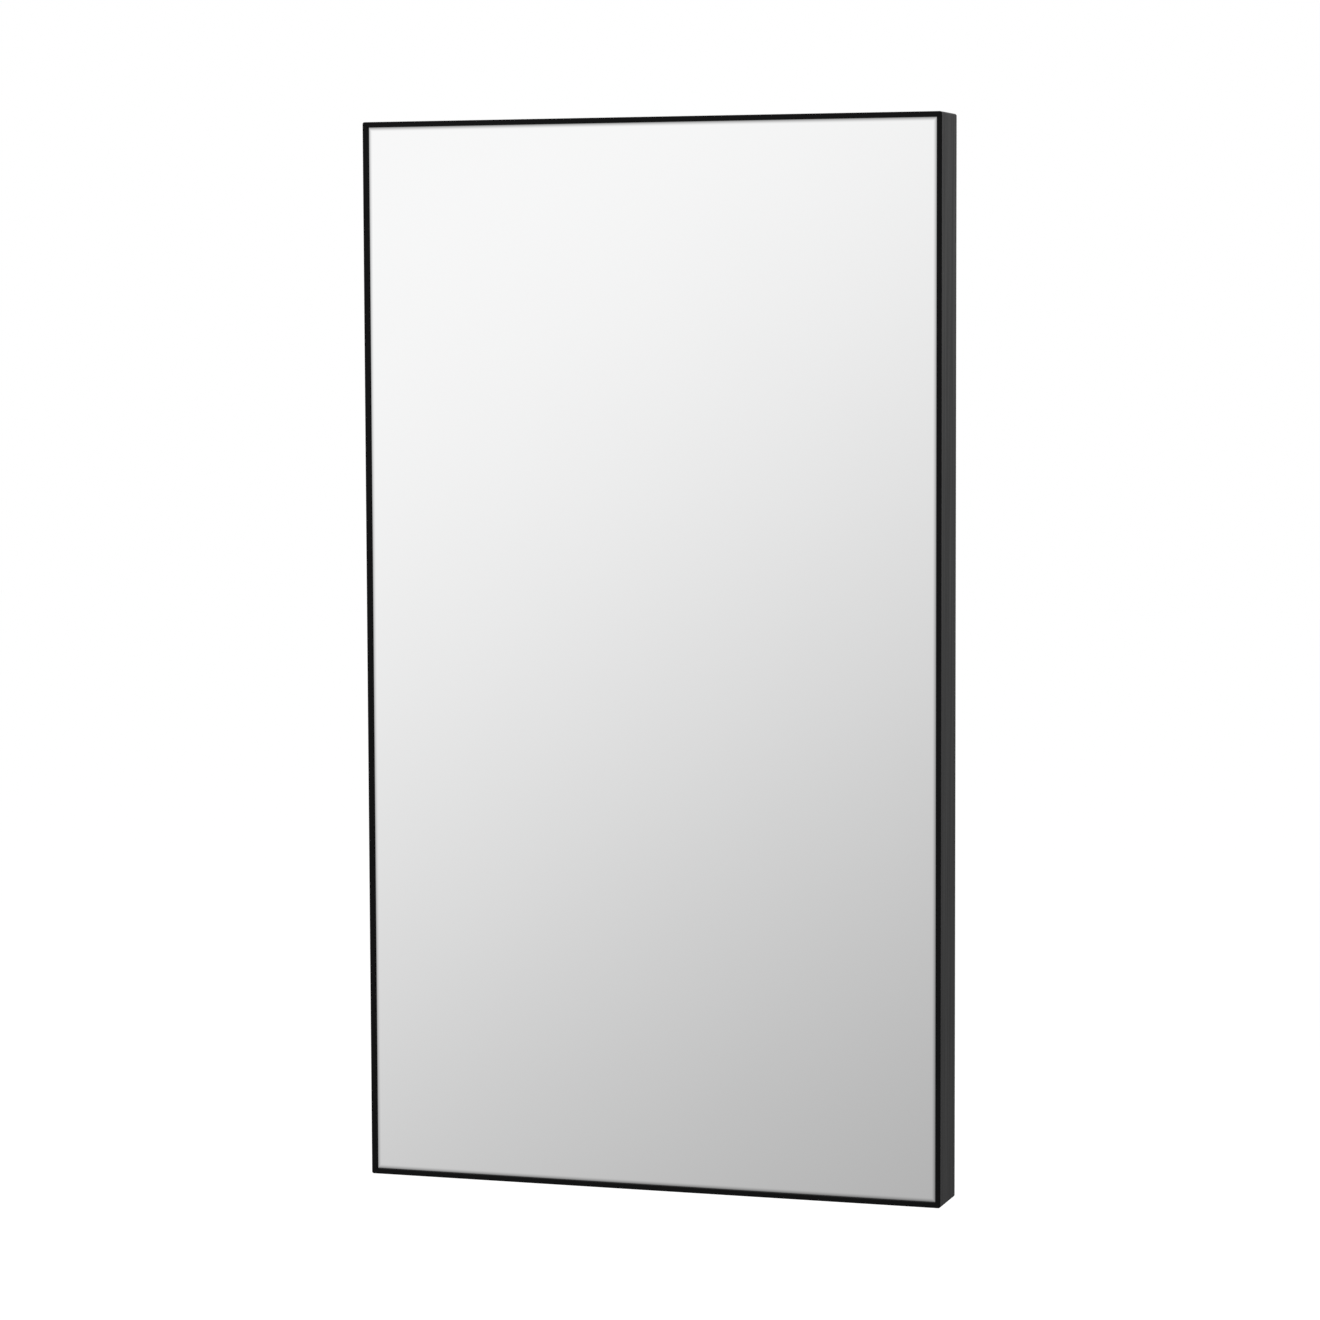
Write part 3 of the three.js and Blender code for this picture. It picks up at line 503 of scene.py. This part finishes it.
def smooth_but_sharp(mesh):
    """Smooth shading, but for the sharp edges."""
    mesh.shade_smooth()
    mesh.set_sharp_from_angle(angle=SHARP_ANGLE)


def mesh_from(shape, name):
    """A plain mesh from a bmesh, smooth but for its sharp edges."""
    bmesh.ops.recalc_face_normals(shape, faces=shape.faces)
    mesh = bpy.data.meshes.new(name)
    shape.to_mesh(mesh)
    shape.free()
    smooth_but_sharp(mesh)
    return mesh


def merged_copy(node):
    """A CAD solid's triangles, joined, with its flat faces made whole."""
    shape = bmesh.new()
    shape.from_mesh(frame["nodes"][node].data)
    bmesh.ops.remove_doubles(shape, verts=shape.verts, dist=WELD)
    bmesh.ops.dissolve_limit(shape, angle_limit=FLAT_ANGLE, verts=shape.verts, edges=shape.edges)
    return shape


def ease_edges(piece, width):
    """A small round on every sharp edge, and normals that keep the flats flat."""
    bevel = piece.modifiers.new("eased edges", "BEVEL")
    bevel.width = width
    bevel.segments = 2
    bevel.limit_method = "ANGLE"
    bevel.angle_limit = SHARP_ANGLE
    flats = piece.modifiers.new("flat faces", "WEIGHTED_NORMAL")
    flats.keep_sharp = False


def dress(node, width):
    """A CAD solid as a finished piece of its own: same shape, eased edges, its own finish.

    Its sharp marks are cleared, because the eased edges' own faces carry the normals."""
    mesh = mesh_from(merged_copy(node), node)
    mesh.shade_smooth()
    ease_edges(finished(node, mesh), width)


def centre_of(node):
    low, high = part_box(node)
    return (low + high) / 2


def turned(profile, centre, axis):
    """A closed round body from its half profile of (radius, place along the axis) points."""
    shape = bmesh.new()
    turn = Vector((0, 0, 1)).rotation_difference(Vector(axis)).to_matrix()
    rings = []
    for radius, along in profile:
        steps = ROUND_STEPS if radius else 1
        angles = [2 * math.pi * i / steps for i in range(steps)]
        points = [Vector((radius * math.cos(a), radius * math.sin(a), along)) for a in angles]
        rings.append([shape.verts.new(turn @ at + centre) for at in points])
    ends_meet = profile[0][0] > 0
    for one, other in zip(rings, rings[1:] + (rings[:1] if ends_meet else [])):
        for i in range(ROUND_STEPS):
            j = (i + 1) % ROUND_STEPS
            corners = [one[i % len(one)], one[j % len(one)],
                       other[j % len(other)], other[i % len(other)]]
            face = list(dict.fromkeys(corners))
            if len(face) > 2:
                shape.faces.new(face)
    return shape


def replace_with(node, shape):
    finished(node, mesh_from(shape, node))


def rounded(corners, radius, steps=5):
    """A half profile whose marked corners have a small radius. A corner is (r, z, marked)."""
    profile = []
    for i, (r, z, marked) in enumerate(corners):
        at = Vector((r, z))
        if not marked:
            profile.append((r, z))
            continue
        before = Vector(corners[i - 1][:2]) - at
        after = Vector(corners[(i + 1) % len(corners)][:2]) - at
        start = at + before.normalized() * radius
        end = at + after.normalized() * radius
        for k in range(steps + 1):
            t = k / steps
            curve = start * (1 - t) ** 2 + at * 2 * t * (1 - t) + end * t ** 2
            profile.append(tuple(curve))
    return profile


def hinge_pin(node):
    """A headed pin with a chamfered tip and an eased head."""
    low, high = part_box(node)
    half = (high.z - low.z) / 2
    head = high.x - centre_of(node).x
    profile = rounded([
        (0, -half, False),
        (PIN_RADIUS - PIN_CHAMFER, -half, False),
        (PIN_RADIUS, PIN_CHAMFER - half, False),
        (PIN_RADIUS, half - PIN_HEAD_HEIGHT, False),
        (head, half - PIN_HEAD_HEIGHT, True),
        (head, half, True),
        (0, half, False),
    ], PIN_HEAD_EASE)
    replace_with(node, turned(profile, centre_of(node), (0, 0, 1)))


def hinge_bush(node):
    """A flanged bush, its flange away from the knuckle's middle."""
    low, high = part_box(node)
    half = (high.z - low.z) / 2
    bore = PIN_RADIUS + PIN_FIT
    sleeve = PIN_RADIUS + PIN_FIT + BUSH_WALL
    flange = high.x - centre_of(node).x
    side = 1 if "top" in node else -1
    profile = rounded([
        (bore, -half, True),
        (sleeve, -half, True),
        (sleeve, half - BUSH_FLANGE, False),
        (flange, half - BUSH_FLANGE, True),
        (flange, half, True),
        (bore, half, True),
    ], BUSH_EASE)
    replace_with(node, turned(profile, centre_of(node), (0, 0, side)))


def bumper(node):
    """A rubber stop with a waist and a domed nose."""
    low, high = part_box(node)
    length = high.y - low.y
    radius = (high.x - low.x) / 2
    waist = radius - BUMPER_WAIST
    profile = rounded([
        (0, 0, False),
        (radius, 0, True),
        (radius, BUMPER_FOOT, True),
        (waist, BUMPER_FOOT + BUMPER_WAIST / 2, True),
        (waist, length - BUMPER_FOOT - BUMPER_WAIST / 2, True),
        (radius, length - BUMPER_FOOT, True),
        (radius, length - BUMPER_WAIST / 2, True),
        (waist, length, True),
        (0, length, False),
    ], BUMPER_EASE)
    base = Vector((centre_of(node).x, high.y, centre_of(node).z))
    replace_with(node, turned(profile, base, (0, -1, 0)))


def strike_plate(node):
    """A pressed steel disc, dished for its screw."""
    low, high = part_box(node)
    radius = (high.x - low.x) / 2
    thick = high.y - low.y
    profile = rounded([
        (STRIKE_HOLE, 0, False),
        (radius, 0, True),
        (radius, thick, True),
        (STRIKE_HOLE + STRIKE_DISH, thick, False),
        (STRIKE_HOLE, thick - STRIKE_DISH, False),
    ], STRIKE_EASE)
    base = Vector((centre_of(node).x, low.y, centre_of(node).z))
    replace_with(node, turned(profile, base, (0, 1, 0)))


def sheet_outline(line, thickness):
    """The closed outline of bent sheet, set off from its centre line to both sides.

    The set-off grows where the line turns, so that the sheet stays as thick at its bends."""
    sides = []
    for side in (1, -1):
        offset = []
        for i, at in enumerate(line):
            before = line[max(i - 1, 0)]
            after = line[min(i + 1, len(line) - 1)]
            into = (at - before).normalized() if i else (after - at).normalized()
            out = (after - at).normalized() if i < len(line) - 1 else into
            along = (into + out).normalized()
            reach = side * thickness / 2 / max(along.dot(into), SHARPEST_TURN)
            across = Vector((-along.y, along.x)) * reach
            offset.append(at + across)
        sides.append(offset)
    return sides[0] + sides[1][::-1]


def ball_places(node):
    """Where a retainer's balls sit: the first one of each row, and the step between balls."""
    low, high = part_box(node)
    pitch = (high.x - low.x) / BALLS_IN_ROW
    depth = low.y + CAGE_REACH
    height = (high.z - low.z) / 2 - BALL_RADIUS
    middle = (low.z + high.z) / 2
    return [Vector((low.x + pitch / 2, depth, middle + side * height)) for side in (1, -1)], pitch


def ball_retainer(node):
    """A thin steel channel with a round pocket for every ball."""
    low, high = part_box(node)
    starts, pitch = ball_places(node)
    height = (starts[0].z - starts[1].z) / 2
    middle = (low.z + high.z) / 2
    bend = CAGE_SHEET * 1.5
    web = high.y - CAGE_SHEET / 2
    turns = [math.pi / 2 * i / CAGE_BEND_STEPS for i in range(CAGE_BEND_STEPS + 1)]
    upper = [
        Vector((web - bend + bend * math.cos(a), height - bend + bend * math.sin(a))) for a in turns
    ] + [Vector((low.y, height))]
    lower = [Vector((at.x, -at.y)) for at in reversed(upper)]
    outline = sheet_outline(lower + upper, CAGE_SHEET)
    shape = bmesh.new()
    ends = [[shape.verts.new((x, at.x, middle + at.y)) for at in outline] for x in (low.x, high.x)]
    shape.faces.new(ends[0])
    shape.faces.new(ends[1][::-1])
    for i in range(len(outline)):
        j = (i + 1) % len(outline)
        shape.faces.new((ends[0][i], ends[0][j], ends[1][j], ends[1][i]))
    channel = mesh_from(shape, node)
    cutters = bmesh.new()
    pocket = BALL_RADIUS + POCKET_GAP
    for start in starts:
        for i in range(BALLS_IN_ROW):
            bmesh.ops.create_cone(
                cutters, cap_ends=True, segments=POCKET_SIDES,
                radius1=pocket, radius2=pocket, depth=4 * CAGE_SHEET,
                matrix=Matrix.Translation(start + Vector((i * pitch, 0, 0))),
            )
    tool = bpy.data.objects.new("pockets", mesh_from(cutters, "pockets"))
    blank = bpy.data.objects.new("blank", channel)
    for item in (tool, blank):
        bpy.context.scene.collection.objects.link(item)
    pockets = blank.modifiers.new("pockets", "BOOLEAN")
    pockets.object = tool
    pockets.operation = "DIFFERENCE"
    graph = bpy.context.evaluated_depsgraph_get()
    mesh = bpy.data.meshes.new_from_object(blank.evaluated_get(graph))
    for item in (tool, blank):
        bpy.data.objects.remove(item)
    smooth_but_sharp(mesh)
    finished(node, mesh)


# How far each kind of solid has its edges eased. Solids of other kinds are shown as they are.
EASED_EDGES = {
    "black_aluminium": 0.12 * MM,
    "silvered_glass": 0.08 * MM,
    "back_board": 0.2 * MM,
    "zinc_steel": 0.12 * MM,
    "black_steel": 0.25 * MM,
    "black_plastic": 0.4 * MM,
    "magnet": 0.3 * MM,
}
SPECIAL_PIECES = {
    "hinge_pin": hinge_pin,
    "bush": hinge_bush,
    "bumper": bumper,
    "strike_plate": strike_plate,
    "outer_ball_retainer": ball_retainer,
    "inner_ball_retainer": ball_retainer,
}
for node in sorted(frame["nodes"]):
    special = [make for name, make in SPECIAL_PIECES.items() if node.startswith(name)]
    if special:
        special[0](node)
    elif slot_of[node] in EASED_EDGES:
        dress(node, EASED_EDGES[slot_of[node]])
    else:
        materials = frame["nodes"][node].data.materials
        materials.clear()
        materials.append(finish_of(node))


# Balls, screws and rivets, each kind made by one tree that repeats a shape in rows

def row_tree(name, sizes, make_shape):
    """A tree that starts a row of one shape at every point of a mesh.

    Facing turns the shapes' tops, and each shape has its own turn about its axis."""
    tree, given, result = new_group(
        name,
        "GeometryNodeTree",
        [
            ("Starts", "NodeSocketGeometry", None),
            ("Count", "NodeSocketInt", 1),
            ("Step", "NodeSocketVector", (0, 0, 0)),
            ("Facing", "NodeSocketVector", (0, 0, 0)),
            ("Finish", "NodeSocketMaterial", None),
        ] + [(label, "NodeSocketFloat", None) for label in sizes],
        [("Geometry", "NodeSocketGeometry")],
    )
    row = put(tree, "GeometryNodeMeshLine", {"Count": given["Count"], "Offset": given["Step"]})
    rows = put(tree, "GeometryNodeInstanceOnPoints",
               {"Points": given["Starts"], "Instance": row.outputs[0]})
    places = put(tree, "GeometryNodeRealizeInstances", {0: rows.outputs[0]})
    spin = put(tree, "FunctionNodeRandomValue", {"Seed": SPIN_SEED}, data_type="FLOAT")
    around = put(tree, "FunctionNodeAxisAngleToRotation",
                 {"Axis": (0, 0, 1), "Angle": times(tree, spin.outputs[1], 2 * math.pi)})
    facing = put(tree, "FunctionNodeEulerToRotation", {0: given["Facing"]})
    turn = put(tree, "FunctionNodeRotateRotation",
               {"Rotation": facing.outputs[0], "Rotate By": around.outputs[0]}, rotation_space="LOCAL")
    copies = put(tree, "GeometryNodeInstanceOnPoints",
                 {"Points": places.outputs[0], "Instance": make_shape(tree, given),
                  "Rotation": turn.outputs[0]})
    real = put(tree, "GeometryNodeRealizeInstances", {0: copies.outputs[0]})
    coated = put(tree, "GeometryNodeSetMaterial",
                 {"Geometry": real.outputs[0], "Material": given["Finish"]})
    tree.links.new(coated.outputs[0], result.inputs["Geometry"])
    return tree


def times(tree, value, factor):
    return put(tree, "ShaderNodeMath", {0: value, 1: factor}, operation="MULTIPLY").outputs[0]


def raised(tree, geometry, height):
    lift = put(tree, "ShaderNodeCombineXYZ", {"Z": height}).outputs[0]
    return put(tree, "GeometryNodeTransform", {"Geometry": geometry, "Translation": lift}).outputs[0]


def cylinder(tree, sides, radius, depth):
    return put(tree, "GeometryNodeMeshCylinder",
               {"Vertices": sides, "Radius": radius, "Depth": depth}).outputs[0]


def ball_shape(tree, given):
    return put(tree, "GeometryNodeMeshIcoSphere",
               {"Radius": given["Radius"], "Subdivisions": 3}).outputs[0]


def domed_disc(tree, given):
    """A round head with a short upright side and a domed top."""
    disc = cylinder(tree, HEAD_SIDES, given["Radius"], given["Height"])
    wide = times(tree, given["Radius"], DOME_SPREAD)
    size = put(tree, "ShaderNodeCombineXYZ", {"X": wide, "Y": wide, "Z": given["Height"]}).outputs[0]
    ball = put(tree, "GeometryNodeMeshUVSphere",
               {"Segments": HEAD_SIDES, "Rings": DOME_RINGS, "Radius": 1}).outputs[0]
    dome = put(tree, "GeometryNodeTransform", {"Geometry": ball, "Scale": size}).outputs[0]
    head = put(tree, "GeometryNodeMeshBoolean", operation="INTERSECT")
    for part in (raised(tree, disc, times(tree, given["Height"], 0.5)), dome):
        tree.links.new(part, head.inputs["Mesh 2"])
    return head.outputs[0]


def with_cross(tree, given, head, top):
    """Cuts a cross recess in the top of a screw head."""
    recess = put(tree, "GeometryNodeMeshBoolean", {"Mesh 1": head}, operation="DIFFERENCE")
    deep = times(tree, given["Recess"], CROSS_DEPTH)
    narrow = times(tree, given["Recess"], CROSS_ARM)
    for along, across in ((given["Recess"], narrow), (narrow, given["Recess"])):
        size = put(tree, "ShaderNodeCombineXYZ", {"X": along, "Y": across, "Z": deep}).outputs[0]
        slot = put(tree, "GeometryNodeMeshCube", {"Size": size}).outputs[0]
        tree.links.new(raised(tree, slot, top), recess.inputs["Mesh 2"])
    return recess.outputs[0]


def pan_screw(tree, given):
    """A domed head with a cross recess, on a plain shank."""
    head = with_cross(tree, given, domed_disc(tree, given), given["Height"])
    stem = cylinder(tree, SHANK_SIDES, given["Shank"], given["Length"])
    whole = put(tree, "GeometryNodeJoinGeometry")
    for part in (head, raised(tree, stem, times(tree, given["Length"], -0.5))):
        tree.links.new(part, whole.inputs[0])
    return whole.outputs[0]


def countersunk_head(tree, given):
    """A flat head with a cross recess, sunk to the surface that it starts from."""
    cone = put(tree, "GeometryNodeMeshCone",
               {"Vertices": HEAD_SIDES, "Radius Top": given["Radius"],
                "Radius Bottom": given["Shank"], "Depth": given["Height"]}).outputs[0]
    sunk = raised(tree, cone, times(tree, given["Height"], -1))
    return with_cross(tree, given, sunk, 0)


ROW_TREES = {
    "balls": row_tree("Rows of balls", ("Radius",), ball_shape),
    "rivets": row_tree("Rows of rivets", ("Radius", "Height"), domed_disc),
    "pan_screws": row_tree("Rows of pan screws",
                           ("Radius", "Height", "Recess", "Shank", "Length"), pan_screw),
    "flat_screws": row_tree("Rows of countersunk screws",
                            ("Radius", "Height", "Recess", "Shank"), countersunk_head),
}
TO_FRONT = (math.pi / 2, 0, 0)
TO_WALL = (-math.pi / 2, 0, 0)


def repeated(name, kind, starts, body, slot="zinc_steel", **values):
    """Rows of balls, screws or rivets as one plain mesh that rides on a body."""
    points = bpy.data.meshes.new(name + "_starts")
    points.from_pydata([tuple(at) for at in starts], [], [])
    holder = bpy.data.objects.new(name + "_starts", points)
    bpy.context.scene.collection.objects.link(holder)
    rows = holder.modifiers.new("rows", "NODES")
    rows.node_group = ROW_TREES[kind]
    chosen = {label.capitalize(): value for label, value in values.items()}
    chosen["Finish"] = finishes[slot]
    for item in rows.node_group.interface.items_tree:
        if item.item_type == "SOCKET" and item.in_out == "INPUT" and item.name in chosen:
            rows[item.identifier] = chosen[item.name]
    graph = bpy.context.evaluated_depsgraph_get()
    mesh = bpy.data.meshes.new_from_object(holder.evaluated_get(graph))
    bpy.data.objects.remove(holder)
    smooth_but_sharp(mesh)
    add_piece(name, mesh, body, finishes[slot])


def runner_balls():
    """Two rows of balls in the pockets of each retainer."""
    for body in ("outer_balls", "inner_balls"):
        retainers = [node for node in sorted(frame["nodes"]) if body_of[node] == body]
        starts = [start for node in retainers for start in ball_places(node)[0]]
        pitch = ball_places(retainers[0])[1]
        repeated(body.replace("_", "_runner_"), "balls", starts, body, "polished_steel",
                 count=BALLS_IN_ROW, step=(pitch, 0, 0), radius=BALL_RADIUS)


def grid_of(xs, y, zs):
    """Every place with one of the xs and one of the zs, on one upright plane."""
    return [(x, y, z) for x in xs for z in zs]


def back_panel_screws():
    """Small pan screws all round the back panel's edge."""
    low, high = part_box("back_panel")
    size = high - low
    up = (size.z - 2 * BACK_SCREW_INSET) / (BACK_SCREWS_UP - 1)
    across = (size.x - 2 * BACK_SCREW_INSET) / (BACK_SCREWS_ACROSS - 1)
    sides = grid_of((low.x + BACK_SCREW_EDGE, high.x - BACK_SCREW_EDGE), high.y,
                    [low.z + BACK_SCREW_INSET + i * up for i in range(BACK_SCREWS_UP)])
    ends = grid_of([low.x + BACK_SCREW_INSET + i * across for i in range(BACK_SCREWS_ACROSS)], high.y,
                   (low.z + BACK_SCREW_EDGE, high.z - BACK_SCREW_EDGE))
    repeated("back_panel_screws", "pan_screws", sides + ends, "mirror",
             facing=TO_WALL, length=size.y, **BACK_SCREW)


def hinge_screws():
    """Countersunk screws through both hinges' leaves, and through their brackets."""
    leaves = []
    brackets = []
    for name in ("upper", "lower"):
        pin = centre_of("hinge_pin_" + name)
        leaf_low, leaf_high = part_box("hinge_leaf_" + name)
        reach = pin.x - leaf_low.x
        leaves += grid_of((pin.x - reach / 3, pin.x - reach * 5 / 6), leaf_high.y - LEAF_FACE,
                          (pin.z - LEAF_SCREW_SPREAD, pin.z + LEAF_SCREW_SPREAD))
        brackets += grid_of((pin.x + BRACKET_FRONT_SCREW, pin.x - BRACKET_REAR_SCREW),
                            pin.y - BRACKET_FACE,
                            (pin.z - BRACKET_SCREW_SPREAD, pin.z + BRACKET_SCREW_SPREAD))
    repeated("hinge_leaf_screws", "flat_screws", leaves, "carriage", facing=TO_FRONT, **HINGE_SCREW)
    repeated("hinge_bracket_screws", "flat_screws", brackets, "mirror", facing=TO_WALL, **HINGE_SCREW)


def wall_screws():
    """Pan screws in the rails' and the spine's holes, flush with the wall behind."""
    starts = []
    for name in ("upper", "lower"):
        low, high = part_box("wall_rail_" + name)
        starts += grid_of((low.x + WALL_SCREW_INSET, high.x - WALL_SCREW_INSET), -WALL_SHEET,
                          (low.z + WALL_SCREW_EDGE, high.z - WALL_SCREW_EDGE))
    spine = centre_of("wall_spine")
    starts += grid_of((spine.x,), -WALL_SHEET, (spine.z - SPINE_SCREW, spine.z + SPINE_SCREW))
    repeated("wall_screws", "pan_screws", starts, "base",
             facing=TO_FRONT, length=WALL_SHEET, **WALL_SCREW)


def runner_screws():
    """Countersunk screws along each runner's outer member."""
    starts = []
    for name in ("upper", "lower"):
        member = "runner_outer_member_" + name
        low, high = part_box(member)
        step = (high.x - low.x - 2 * RUNNER_SCREW_INSET) / (RUNNER_SCREWS - 1)
        starts += grid_of([low.x + RUNNER_SCREW_INSET + i * step for i in range(RUNNER_SCREWS)],
                          high.y - RUNNER_SHEET, (centre_of(member).z,))
    repeated("runner_screws", "flat_screws", starts, "base", facing=TO_FRONT, **RUNNER_SCREW)


def carriage_rivets():
    """Rivets that join the tie to both runners' inner members."""
    tie_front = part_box("carriage_tie")[0].y
    runners = [centre_of("runner_inner_member_" + name).z for name in ("upper", "lower")]
    starts = grid_of((centre_of("carriage_tie").x,), tie_front,
                     [z + side * TIE_RIVET_SPREAD for z in runners for side in (1, -1)])
    repeated("carriage_rivets", "rivets", starts, "carriage", facing=TO_FRONT, **TIE_RIVET)


def catch_screws():
    """The screws behind the tie that hold the catch and the two bumpers."""
    catch = centre_of("catch_housing")
    heights = [catch.z - CATCH_SCREW_SPREAD, catch.z + CATCH_SCREW_SPREAD]
    heights += [centre_of("bumper_" + name).z for name in ("upper", "lower")]
    starts = grid_of((catch.x,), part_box("carriage_tie")[1].y, heights)
    repeated("catch_and_bumper_screws", "pan_screws", starts, "carriage",
             facing=TO_WALL, length=TIE_SHEET, **CATCH_SCREW)


runner_balls()
back_panel_screws()
hinge_screws()
wall_screws()
runner_screws()
carriage_rivets()
catch_screws()


# Stage, lights and camera

FLOOR_DROP = 0.5
FLOOR_SIDE = 30
FLOOR_GLOW = 0.8
FLOOR_GLOW_STRENGTH = 1.14
AMBIENT = 0.55
WHITE = (1, 1, 1, 1)

# The room that mirrors see. Near the way that the resting mirror looks, its light falls off along
# the fall's axis, as photographed. Elsewhere it is lighter above.
ROOM_DARK = 0.42
FALL_AXIS = (-0.68, 0.1, 1)
FALL_RANGE = (-0.216, 0.194)
FALL_BRIGHT = 0.98
MIRRORED_WAY = (-0.305, -0.949, -0.079)
MIRRORED_RANGE = (0.96, 0.7)
HEIGHT_RANGE = (-0.2, 0.3)
HEIGHT_BRIGHT = 1.0

# The place, side and power of each soft light
SOFT_LIGHTS = [
    ((-2.0, -2.6, 2.0), 2.2, 55),
    ((2.6, -1.4, 1.0), 1.8, 22),
    ((0.6, 2.6, 1.6), 2.4, 60),
]


def light_path_mix(tree, plain, seen, *rays):
    """The plain shader, but the seen one for rays of the named kinds."""
    path = put(tree, "ShaderNodeLightPath")
    kind = path.outputs[rays[0]]
    for ray in rays[1:]:
        kind = put(tree, "ShaderNodeMath", {0: kind, 1: path.outputs[ray]},
                   operation="MAXIMUM").outputs[0]
    return put(tree, "ShaderNodeMixShader", {0: kind, 1: plain, 2: seen}).outputs[0]


def falling_off(tree, value, between, dark, bright):
    """A smooth change from dark to bright as the value goes from one end to the other."""
    return put(tree, "ShaderNodeMapRange",
               {"Value": value, "From Min": between[0], "From Max": between[1],
                "To Min": dark, "To Max": bright},
               interpolation_type="SMOOTHSTEP").outputs["Result"]


def backdrop(tree, strength):
    return put(tree, "ShaderNodeBackground", {"Color": WHITE, "Strength": strength}).outputs[0]


def studio_world():
    """Even light all round, and white for the camera.

    The mirror at rest sees the light fall off low and right, as photographed. Away from that,
    mirrors and metal see a room that is lighter above."""
    world = bpy.data.worlds.new("studio")
    world.use_nodes = True
    tree = world.node_tree
    tree.nodes.clear()
    direction = put(tree, "ShaderNodeTexCoord").outputs["Generated"]
    along_fall = put(tree, "ShaderNodeVectorMath", {0: direction, 1: FALL_AXIS}, operation="DOT_PRODUCT")
    fall = falling_off(tree, along_fall.outputs["Value"], FALL_RANGE, ROOM_DARK, FALL_BRIGHT)
    ahead = put(tree, "ShaderNodeVectorMath", {0: direction, 1: MIRRORED_WAY}, operation="DOT_PRODUCT")
    elsewhere = falling_off(tree, ahead.outputs["Value"], MIRRORED_RANGE, 0, 1)
    height = put(tree, "ShaderNodeSeparateXYZ", {0: direction}).outputs["Z"]
    upwards = falling_off(tree, height, HEIGHT_RANGE, ROOM_DARK, HEIGHT_BRIGHT)
    seen = put(tree, "ShaderNodeMix", {0: elsewhere, 2: fall, 3: upwards}, data_type="FLOAT")
    lit = light_path_mix(tree, backdrop(tree, AMBIENT), backdrop(tree, seen.outputs[0]),
                         "Is Glossy Ray", "Is Transmission Ray")
    shown = light_path_mix(tree, lit, backdrop(tree, 1), "Is Camera Ray")
    put(tree, "ShaderNodeOutputWorld", {"Surface": shown})
    bpy.context.scene.world = world


def pale_floor():
    """A white floor well below the panel that keeps its soft shadow.

    Mirrors see through it, and so does a view from below."""
    level = cad_box[0].z - FLOOR_DROP
    shape = bmesh.new()
    bmesh.ops.create_grid(shape, x_segments=1, y_segments=1, size=FLOOR_SIDE / 2,
                          matrix=Matrix.Translation((0, 0, level)))
    mesh = bpy.data.meshes.new("floor")
    shape.to_mesh(mesh)
    shape.free()
    material = bpy.data.materials.new("pale_floor")
    material.use_nodes = True
    tree = material.node_tree
    tree.nodes.clear()
    matt = put(tree, "ShaderNodeBsdfDiffuse", {"Color": (0.8, 0.8, 0.8, 1)})
    glow = put(tree, "ShaderNodeEmission", {"Color": WHITE, "Strength": FLOOR_GLOW_STRENGTH})
    shown = put(tree, "ShaderNodeMixShader", {0: FLOOR_GLOW, 1: matt.outputs[0], 2: glow.outputs[0]})
    clear = put(tree, "ShaderNodeBsdfTransparent")
    seen = light_path_mix(tree, matt.outputs[0], shown.outputs[0], "Is Camera Ray")
    whole = light_path_mix(tree, seen, clear.outputs[0], "Is Glossy Ray", "Is Transmission Ray")
    under = put(tree, "ShaderNodeNewGeometry").outputs["Backfacing"]
    one_sided = put(tree, "ShaderNodeMixShader", {0: under, 1: whole, 2: clear.outputs[0]})
    put(tree, "ShaderNodeOutputMaterial", {"Surface": one_sided.outputs[0]})
    mesh.materials.append(material)
    floor = bpy.data.objects.new("floor", mesh)
    bpy.context.scene.collection.objects.link(floor)


def soft_light(place, side, power):
    """A square light that faces the panel, and that mirrors don't see."""
    data = bpy.data.lights.new("soft_light", "AREA")
    data.shape = "SQUARE"
    data.size = side
    data.energy = power
    light = bpy.data.objects.new("soft_light", data)
    bpy.context.scene.collection.objects.link(light)
    light.location = place
    light.rotation_euler = (-Vector(place)).to_track_quat("-Z", "Y").to_euler()
    light.visible_glossy = False


def photograph_camera():
    """The camera stands where the photograph was taken from."""
    front = Vector((0, cad_box[0].y, 0))
    turn = Matrix.Rotation(VIEW_TURN, 3, "Y")
    tilt = Matrix.Rotation(VIEW_TILT, 3, "X")
    roll = Matrix.Rotation(VIEW_ROLL, 3, "Z")
    right, down, ahead = roll @ tilt @ turn @ Matrix(((1, 0, 0), (0, 0, -1), (0, 1, 0)))
    data = bpy.data.cameras.new("camera")
    data.sensor_width = SENSOR_WIDTH
    data.lens = FOCAL_PIXELS / IMAGE_SIDE * SENSOR_WIDTH
    camera = bpy.data.objects.new("camera", data)
    bpy.context.scene.collection.objects.link(camera)
    place = front - right * VIEW_OFFSET.x - down * VIEW_OFFSET.y - ahead * VIEW_OFFSET.z
    axes = Matrix((right, -down, -ahead)).transposed()
    camera.matrix_world = Matrix.Translation(place) @ axes.to_4x4()
    bpy.context.scene.camera = camera


studio_world()
pale_floor()
for place, side, power in SOFT_LIGHTS:
    soft_light(place, side, power)
photograph_camera()
bpy.context.scene.view_settings.view_transform = "Standard"
